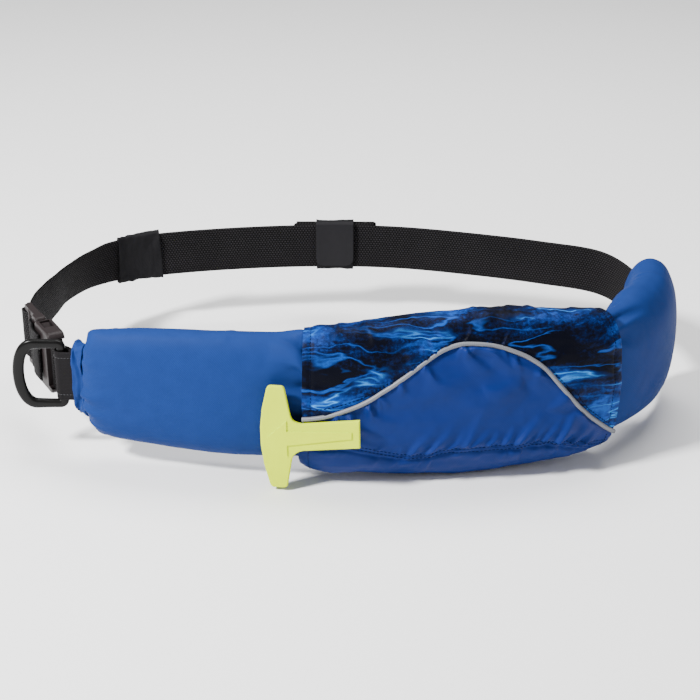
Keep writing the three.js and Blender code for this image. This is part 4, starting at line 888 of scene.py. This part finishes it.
def build_piping():
    """A round cord along the arch."""
    s = np.arange(COVER_LEFT - 0.2, COVER_RIGHT + 0.3, 0.8)
    up, out = cover_point(s, arch_angle(s), COVER_WALL - PIPING_RADIUS - 0.45)
    centres = sweep(s, up[:, None], out[:, None])[:, 0]
    radii = PIPING_RADIUS * (1 + 0.03 * noise(s / 5, s * 0, 71))
    run = unit(np.gradient(centres, axis=0))
    side = unit(np.cross(run, (0.0, 0.0, 1.0)))
    over = unit(np.cross(side, run))
    n, m = len(s), 14
    uv = grid_uv(run_length(centres)[:, None], np.arange(m) / m * math.tau * radii[:, None])
    faces = grid_faces(n, m, True) + end_caps(n, m)
    points = tube(centres, side, over, radii, m)
    piece("piping_cord", points, faces, uv, silver, "piping")


def stitches(name, places, normals, pitch, length, radius, material, sink=0.1):
    """A row of thread lengths lying along a line on a surface."""
    reach = run_length(places)
    points, faces = [], []
    sides, rings = 6, 5
    t = np.linspace(0, 1, rings)
    for start in np.arange(0.4, reach[-1] - length, pitch):
        centre = np.stack([np.interp(start + length * t, reach, places[:, c]) for c in range(3)], 1)
        up = unit(np.stack([np.interp(start + length * t, reach, normals[:, c]) for c in range(3)], 1))
        run = unit(np.gradient(centre, axis=0))
        side = unit(np.cross(run, up))
        arc = np.sin(math.pi * t)
        centre = centre + up * (arc * 0.22 - sink)[:, None]
        thick = radius * (0.45 + 0.55 * arc ** 0.5)
        base = len(points) * rings * sides
        points.append(tube(centre, side, up, thick, sides))
        faces += grid_faces(rings, sides, True, base) + end_caps(rings, sides, base)
    piece(name, points, faces, None, material)


def build_cover_stitches():
    s = np.arange(COVER_LEFT + 1, COVER_RIGHT - 1, 1.0)
    hem = share_angle(read(HEM_ROWS, 1, (s - COVER_MIDDLE) / COVER_LENGTH))
    for k, shift in enumerate((0.0, HEM_ROWS_APART)):
        at, normal = pocket.at(s, pocket.column_below(s, pocket.column_of(s, hem), shift))
        stitches(f"hem_stitches_{k}", at, normal, HEM_STITCH_PITCH, 2.0, 0.3, hem_thread, 0.05)
    at, normal = yoke.at(s, yoke.column_of(s, arch_edge(s, 1)) + 2.6)
    stitches("piping_stitches", at, normal, HEM_STITCH_PITCH, 2.0, 0.32, dark_thread, 0.05)
    for k, edge in enumerate((COVER_LEFT + EDGE_STITCHES_IN, COVER_RIGHT - EDGE_STITCHES_IN)):
        for name, panel, slot in (("yoke", yoke, "cover_print"), ("pocket", pocket, "cover_cloth")):
            columns = np.arange(3, panel.q.shape[1] - 3, 1.0)
            at, normal = panel.at(np.full(len(columns), edge), columns)
            stitches(f"{name}_end_stitches_{k}", at, normal, END_STITCH_PITCH, 1.8, 0.28, dark_thread)


# Webbing
def ribbon(name, frames, material, node):
    """Webbing through frames of place, up and out, with rounded edges."""
    place, up, out = (np.array([f[k] for f in frames]) for k in (0, 1, 2))
    w, t = WEB_WIDTH / 2, WEB_THICK / 2
    half = [(w, 0), (w - 0.22, 0.66 * t), (w - 0.9, t), (w * 0.6, t * 0.97), (w * 0.2, t), (-w * 0.2, t),
            (-w * 0.6, t * 0.97), (-w + 0.9, t), (-w + 0.22, 0.66 * t)]
    section = half + [(-a, -b) for a, b in half]
    points = np.stack([place + up * a + out * b for a, b in section], 1)
    n, m = len(place), len(section)
    uv = grid_uv(run_length(place)[:, None], np.array(section)[None, :, 0])
    piece(name, points, grid_faces(n, m, True) + end_caps(n, m), uv, material, node)


def belt_frames(s, shift):
    place, _, up, out = ring(s)
    return [(p + o * d, u, o) for p, u, o, d in zip(place, up, out, np.broadcast_to(shift, len(place)))]


# The buckle's own frame: its back end, along to its front end, out and up
B_AT = ring(BUCKLE_BACK)[0][0]
B_ALONG = unit(ring(BUCKLE_FRONT)[0][0] - B_AT)
away = ring((BUCKLE_BACK + BUCKLE_FRONT) / 2)[3][0]
B_OUT = unit(away - B_ALONG * (away @ B_ALONG))
B_UP = unit(np.cross(B_OUT, B_ALONG))


def buckle_frame(x, out, slope):
    a = math.radians(slope)
    return (B_AT + B_ALONG * x + B_OUT * out, B_UP, B_OUT * math.cos(a) - B_ALONG * math.sin(a))


def eased(frames, pieces):
    """More frames between given ones, along smooth curves."""
    data = np.array([np.concatenate(f) for f in frames])
    reach = run_length(data[:, :3])
    slopes = np.gradient(data, reach, axis=0)
    found = []
    for i in range(len(data) - 1):
        span = reach[i + 1] - reach[i]
        found += [hermite(data[i], data[i + 1], slopes[i], slopes[i + 1], span, k / pieces)
                  for k in range(pieces)]
    found.append(data[-1])
    return [(f[:3], unit(f[3:6]), unit(f[6:])) for f in found]


def build_belt():
    """One piece of webbing, from its fold at the buckle's female half round to the male half."""
    bar_x = BUCKLE_LENGTH - FEMALE_BAR
    wrap = FEMALE_BAR + CLEAR + WEB_THICK / 2
    frames = [buckle_frame(BUCKLE_LENGTH + 9, -WEB_THICK - 0.15, 180), buckle_frame(bar_x + 2, -wrap, 180)]
    for k in range(13):
        turn = k / 12 * math.pi
        frames.append(buckle_frame(
            bar_x - wrap * math.sin(turn), -wrap * math.cos(turn), 180 - math.degrees(turn)))
    frames += [buckle_frame(bar_x + 2, wrap, -5), buckle_frame(BUCKLE_LENGTH + 5.5, 0.8, -15)]
    s = np.arange(RING_BAR_AT - 1.5, RING_LENGTH + BUCKLE_BACK - 10, BELT_STEP)
    frames += belt_frames(s, belt_inset(np.where(s < RING_LENGTH / 2, s, s - RING_LENGTH)))
    # in and out of the buckle's bars: distance from its back, out, slope in degrees
    tail = 4 + CLEAR + WEB_THICK / 2
    woven = [buckle_frame(*row) for row in (
        (-5, 2.9, 0), (0, END_BAR - 1 + CLEAR + WEB_THICK / 2, 0), (3, 2.2, -25), (5.5, 0.8, -30),
        (8, -1.15, -22), (MID_SPACING, 1.4 - MID_BAR - CLEAR - WEB_THICK / 2, 0), (13, -1.15, 25),
        (15, 0.7, 45), (17, 3.6, 45), (19.2, tail + 0.15, 20), (23, tail + 0.2, 0),
        (31, tail + 2.8, 8), (23 + TAIL_LENGTH, tail + 3.4, 2))]
    ribbon("belt_webbing", frames + eased(woven, 3), black_web, "belt")


LOOP_INNER = RING_BAR / 2 + CLEAR
RING_BAR_OUT = WEB_THICK / 2 + CLEAR + LOOP_INNER + WEB_THICK
LOOP_OUT = WEB_THICK / 2 + CLEAR + WEB_THICK


def build_ring_loop():
    """Webbing folded round the D-ring's bar, both layers running under the cuff."""
    place, run, up, out = (v[0] for v in ring(RING_BAR_AT))
    centre = place + out * RING_BAR_OUT
    radius = LOOP_INNER + WEB_THICK / 2
    tail_at = (LOOP_DISTANCE, LOOP_DISTANCE + 4, LOOP_DISTANCE + LOOP_TAIL)

    def radial(degrees):
        a = math.radians(degrees)
        return run * math.cos(a) + out * math.sin(a)

    def tail(x, off):
        return belt_frames(np.array([RING_BAR_AT + x]), LOOP_OUT + off)[0]

    frames = [tail(x, WEB_THICK / 2) for x in reversed(tail_at)]
    frames += [(centre + radial(a) * radius, up, radial(a)) for a in range(62, 283, 10)]
    frames += [(p, u, -o) for p, u, o in (tail(x, -WEB_THICK / 2) for x in tail_at)]
    ribbon("loop_webbing", frames, loop_web, "ring_loop")
    for k, height in enumerate((WEB_WIDTH / 2 - LOOP_STITCHES_IN, -WEB_WIDTH / 2 + LOOP_STITCHES_IN)):
        normal = [radial(a) for a in np.linspace(150, 62, 8)]
        line = [centre + n * (radius + WEB_THICK / 2) + up * height for n in normal]
        for x in (LOOP_DISTANCE, LOOP_DISTANCE + 3):
            p, u, o = tail(x, WEB_THICK)
            line.append(p + u * height)
            normal.append(o)
        line, normal = np.array(line), np.array(normal)
        stitches(f"loop_stitches_{k}", line, normal, 2.3, 1.8, 0.3, black_thread)


def build_spare():
    """Three layers under the centre keeper, joined by round folds."""
    frames = []
    first, pitch = WEB_THICK + CLEAR, SPARE_PITCH
    s = np.arange(CENTRE_KEEPER_AT - SPARE_HALF, CENTRE_KEEPER_AT + SPARE_HALF + 0.1, BELT_STEP)
    for layer in range(3):
        line, sign = (s, 1) if layer % 2 == 0 else (s[::-1], -1)
        bow = 0.5 * layer * ((line - CENTRE_KEEPER_AT) / SPARE_HALF) ** 2
        frames += [(p, u, o * sign) for p, u, o in belt_frames(line, first + layer * pitch + bow)]
        if layer < 2:
            place, run, up, out = (v[0] for v in ring(line[-1]))
            high = first + layer * pitch + 0.5 * layer
            for k in range(1, 8):
                turn = k / 8 * math.pi
                reach = pitch / 2 * math.sin(turn) * sign
                lift = high + pitch / 2 * (1 - math.cos(turn))
                face = out * math.cos(turn) * sign + run * math.sin(turn)
                frames.append((place + run * reach + out * lift, up, face))
    ribbon("spare_webbing_fold", frames, black_web, "spare_webbing")


# Keepers
def build_keeper(name, middle, length, high, swell, wrinkle, node, corner):
    """A cloth band round the webbing, from its inner side out to high, and swelling to the left."""
    m = 96
    angle = (np.arange(m) / m)[None] * math.tau
    s = np.linspace(middle - length / 2, middle + length / 2, 44)
    share = ((s - s[0]) / length)[:, None]
    top = WEB_WIDTH / 2 + CLEAR + KEEPER_WALL
    a, b = WEB_IN - KEEPER_WALL, high + swell * (1 - share) + KEEPER_WALL
    up, out = cushion(angle, top * (1 - 0.03 * np.sin(share * math.pi)), top, (b - a) / 2, corner)
    lift = wrinkle * (0.7 * layered(s[:, None] / 9, up / 9, 81) + 0.4 * layered(s[:, None] / 4, up / 12, 84))
    lift = lift + 0.25 * (bell((share - 0.02) / 0.03) + bell((share - 0.98) / 0.03))
    points = sweep(s, up, out + (a + b) / 2)
    points = points + grid_normals(points, True) * lift[..., None]
    uv = grid_uv(s[:, None], round_length(points))
    obj = piece(name, points, grid_faces(len(s), m, True), uv, keeper_cloth, node)
    give_wall(obj, 0.85 * KEEPER_WALL)


def build_keepers():
    spare_top = WEB_THICK + CLEAR + 2 * SPARE_PITCH + WEB_THICK / 2 + CLEAR
    build_keeper("keeper_left_cloth", LEFT_KEEPER_AT, 37, -WEB_IN, 5, 1.1,
                 "keeper_left", 5)
    build_keeper("keeper_centre_band", CENTRE_KEEPER_AT, 31, spare_top, 0, 0.5,
                 "keeper_centre", 6)


def build_tongue():
    """The centre keeper's end: a flap with round lower corners, laid over the band on the wearer's side."""
    u, v = np.meshgrid(np.linspace(-1, 1, 41), np.linspace(0, 1, 41))
    top, bottom, half, corner = WEB_WIDTH / 2 + 3.4, -WEB_WIDTH / 2 + 2.5, 15.9, 6.5
    up = top + (bottom - top) * v
    deep = np.clip(bottom + corner - up, 0, corner)
    width = half - corner + np.sqrt(np.maximum(corner ** 2 - deep ** 2, 0.01))
    s = (CENTRE_KEEPER_AT + u * width).T
    up = up.T
    band = WEB_IN - KEEPER_WALL
    over = smooth((up - WEB_WIDTH / 2 - 1.2) / 2.4)
    out = band - 0.95 + 1.6 * over - 0.5 * smooth((6 - (up - bottom)) / 6)
    out += 0.25 * layered(s / 12, up / 12, 91)
    place, _, rise, away = ring(s.ravel())
    points = place + rise * up.reshape(-1, 1) + away * out.reshape(-1, 1)
    faces = grid_faces(*s.shape, False)
    obj = piece("keeper_centre_tongue", points, faces, grid_uv(s, up), keeper_coat)
    give_wall(obj, 1.2, offset=0)


# D-ring
def build_ring():
    """A flattened bar bent to a D: straight at the webbing, domed at the free side."""
    half, reach = (RING_HEIGHT - RING_BAR) / 2, RING_DEPTH - RING_BAR
    corner, small = reach * 0.34, RING_BAR * 0.55

    def bezier(*controls):
        t = np.linspace(0, 1, 25)[:-1, None]
        k = len(controls) - 1
        return sum(math.comb(k, i) * (1 - t) ** (k - i) * t ** i * np.array(v)
                   for i, v in enumerate(controls))

    x4, x5 = reach - corner * 1.1, reach - corner * 0.35
    line = np.concatenate([
        bezier((0, -half + small), (0, half - small)), bezier((0, half - small), (0, half), (small, half)),
        bezier((small, half), (x4, half)),
        bezier((x4, half), (x5, half * 0.98), (reach, half * 0.5), (reach, 0)),
        bezier((reach, 0), (reach, -half * 0.5), (x5, -half * 0.98), (x4, -half)),
        bezier((x4, -half), (small, -half)), bezier((small, -half), (0, -half), (0, -half + small))])
    run = unit(np.roll(line, -1, 0) - np.roll(line, 1, 0))
    sides = 24
    a = np.arange(sides) / sides * math.tau
    c, s = np.cos(a), np.sin(a)
    flat = np.stack([np.sign(c) * np.abs(c) ** 0.72, np.sign(s) * np.abs(s) ** 0.72 * 0.86], 1) * RING_BAR / 2
    place, _, _, out = (v[0] for v in ring(RING_BAR_AT))
    centre = place + out * RING_BAR_OUT
    wide = 1 + 0.28 * smooth(line[:, 0] / reach * 1.3 - 0.3)[:, None]
    x = line[:, None, 0] - run[:, None, 1] * flat[None, :, 0] * wide
    z = line[:, None, 1] + run[:, None, 0] * flat[None, :, 0] * wide
    y = np.broadcast_to(flat[None, :, 1], x.shape)
    points = centre + np.stack([-x, y, z], -1)
    faces = (np.array(grid_faces(len(line) + 1, sides, True)) % (len(line) * sides)).tolist()
    piece("d_ring_body", points, faces, None, ring_plastic, "d_ring", body="ring")


def show_cad(node, material, bevel):
    """Shows a hard CAD piece as it is, with its edges rounded."""
    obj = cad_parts[node]
    dress(obj, material)
    rim = round_off(obj, bevel, 3)
    rim.angle_limit = math.radians(40)
    rim.harden_normals = True


build_sleeve()
build_cuff()
yoke.build("yoke_cloth", print_cloth, "cover_yoke")
pocket.build("pocket_cloth", pocket_cloth, "cover_pocket")
build_cell()
build_piping()
build_cover_stitches()
build_belt()
build_ring_loop()
build_spare()
build_keepers()
build_tongue()
build_ring()
show_cad("pull_handle", handle_plastic, RIM)
show_cad("buckle_male", buckle_plastic, 0.5)
show_cad("buckle_female", buckle_plastic, 0.5)

# Floor, light and camera
low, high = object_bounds()
bpy.ops.mesh.primitive_plane_add(size=6, location=(0, 0, low.z - 0.0005))
floor = bpy.context.object
floor.name = "floor"
pale = bpy.data.materials.new("floor_pale")
pale.use_nodes = True
paint = pale.node_tree.nodes["Principled BSDF"].inputs
paint["Base Color"].default_value = (0.93, 0.93, 0.93, 1)
paint["Roughness"].default_value = 0.9
floor.data.materials.append(pale)
floor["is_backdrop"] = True

world = bpy.data.worlds.new("studio")
world.use_nodes = True
sky = world.node_tree.nodes["Background"].inputs
sky["Color"].default_value = (1, 1, 1, 1)
sky["Strength"].default_value = 0.27
bpy.context.scene.world = world


def area_light(name, place, size, power):
    light = bpy.data.lights.new(name, "AREA")
    light.shape = "RECTANGLE"
    light.size, light.size_y = size
    light.energy = power
    obj = bpy.data.objects.new(name, light)
    obj.location = place
    obj.rotation_mode = "QUATERNION"
    obj.rotation_quaternion = (Vector((0, 0, 0)) - Vector(place)).to_track_quat("-Z", "Y")
    bpy.context.scene.collection.objects.link(obj)


area_light("key", (-1.25, -0.8, 1.35), (0.28, 0.28), 100)
area_light("fill", (1.2, -1.0, 0.9), (0.8, 0.8), 5)
area_light("top", (0.2, 0.5, 1.6), (1.4, 0.8), 34)

# The photo's width and the fitted focal length, both in its pixels
PHOTO_WIDTH, FOCAL_PIXELS = 700, 1661
CAMERA_RISE, CAMERA_DISTANCE, CAMERA_TARGET = math.radians(25), 1.3, Vector((0, 0, -0.029))
camera = bpy.data.cameras.new("camera")
camera.sensor_width = 36
camera.lens = camera.sensor_width * FOCAL_PIXELS / PHOTO_WIDTH
eye = bpy.data.objects.new("camera", camera)
back = Vector((0, -math.cos(CAMERA_RISE), math.sin(CAMERA_RISE)))
eye.location = CAMERA_TARGET + back * CAMERA_DISTANCE
eye.rotation_mode = "QUATERNION"
eye.rotation_quaternion = (-back).to_track_quat("-Z", "Y")
bpy.context.scene.collection.objects.link(eye)
bpy.context.scene.camera = eye

low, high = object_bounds()
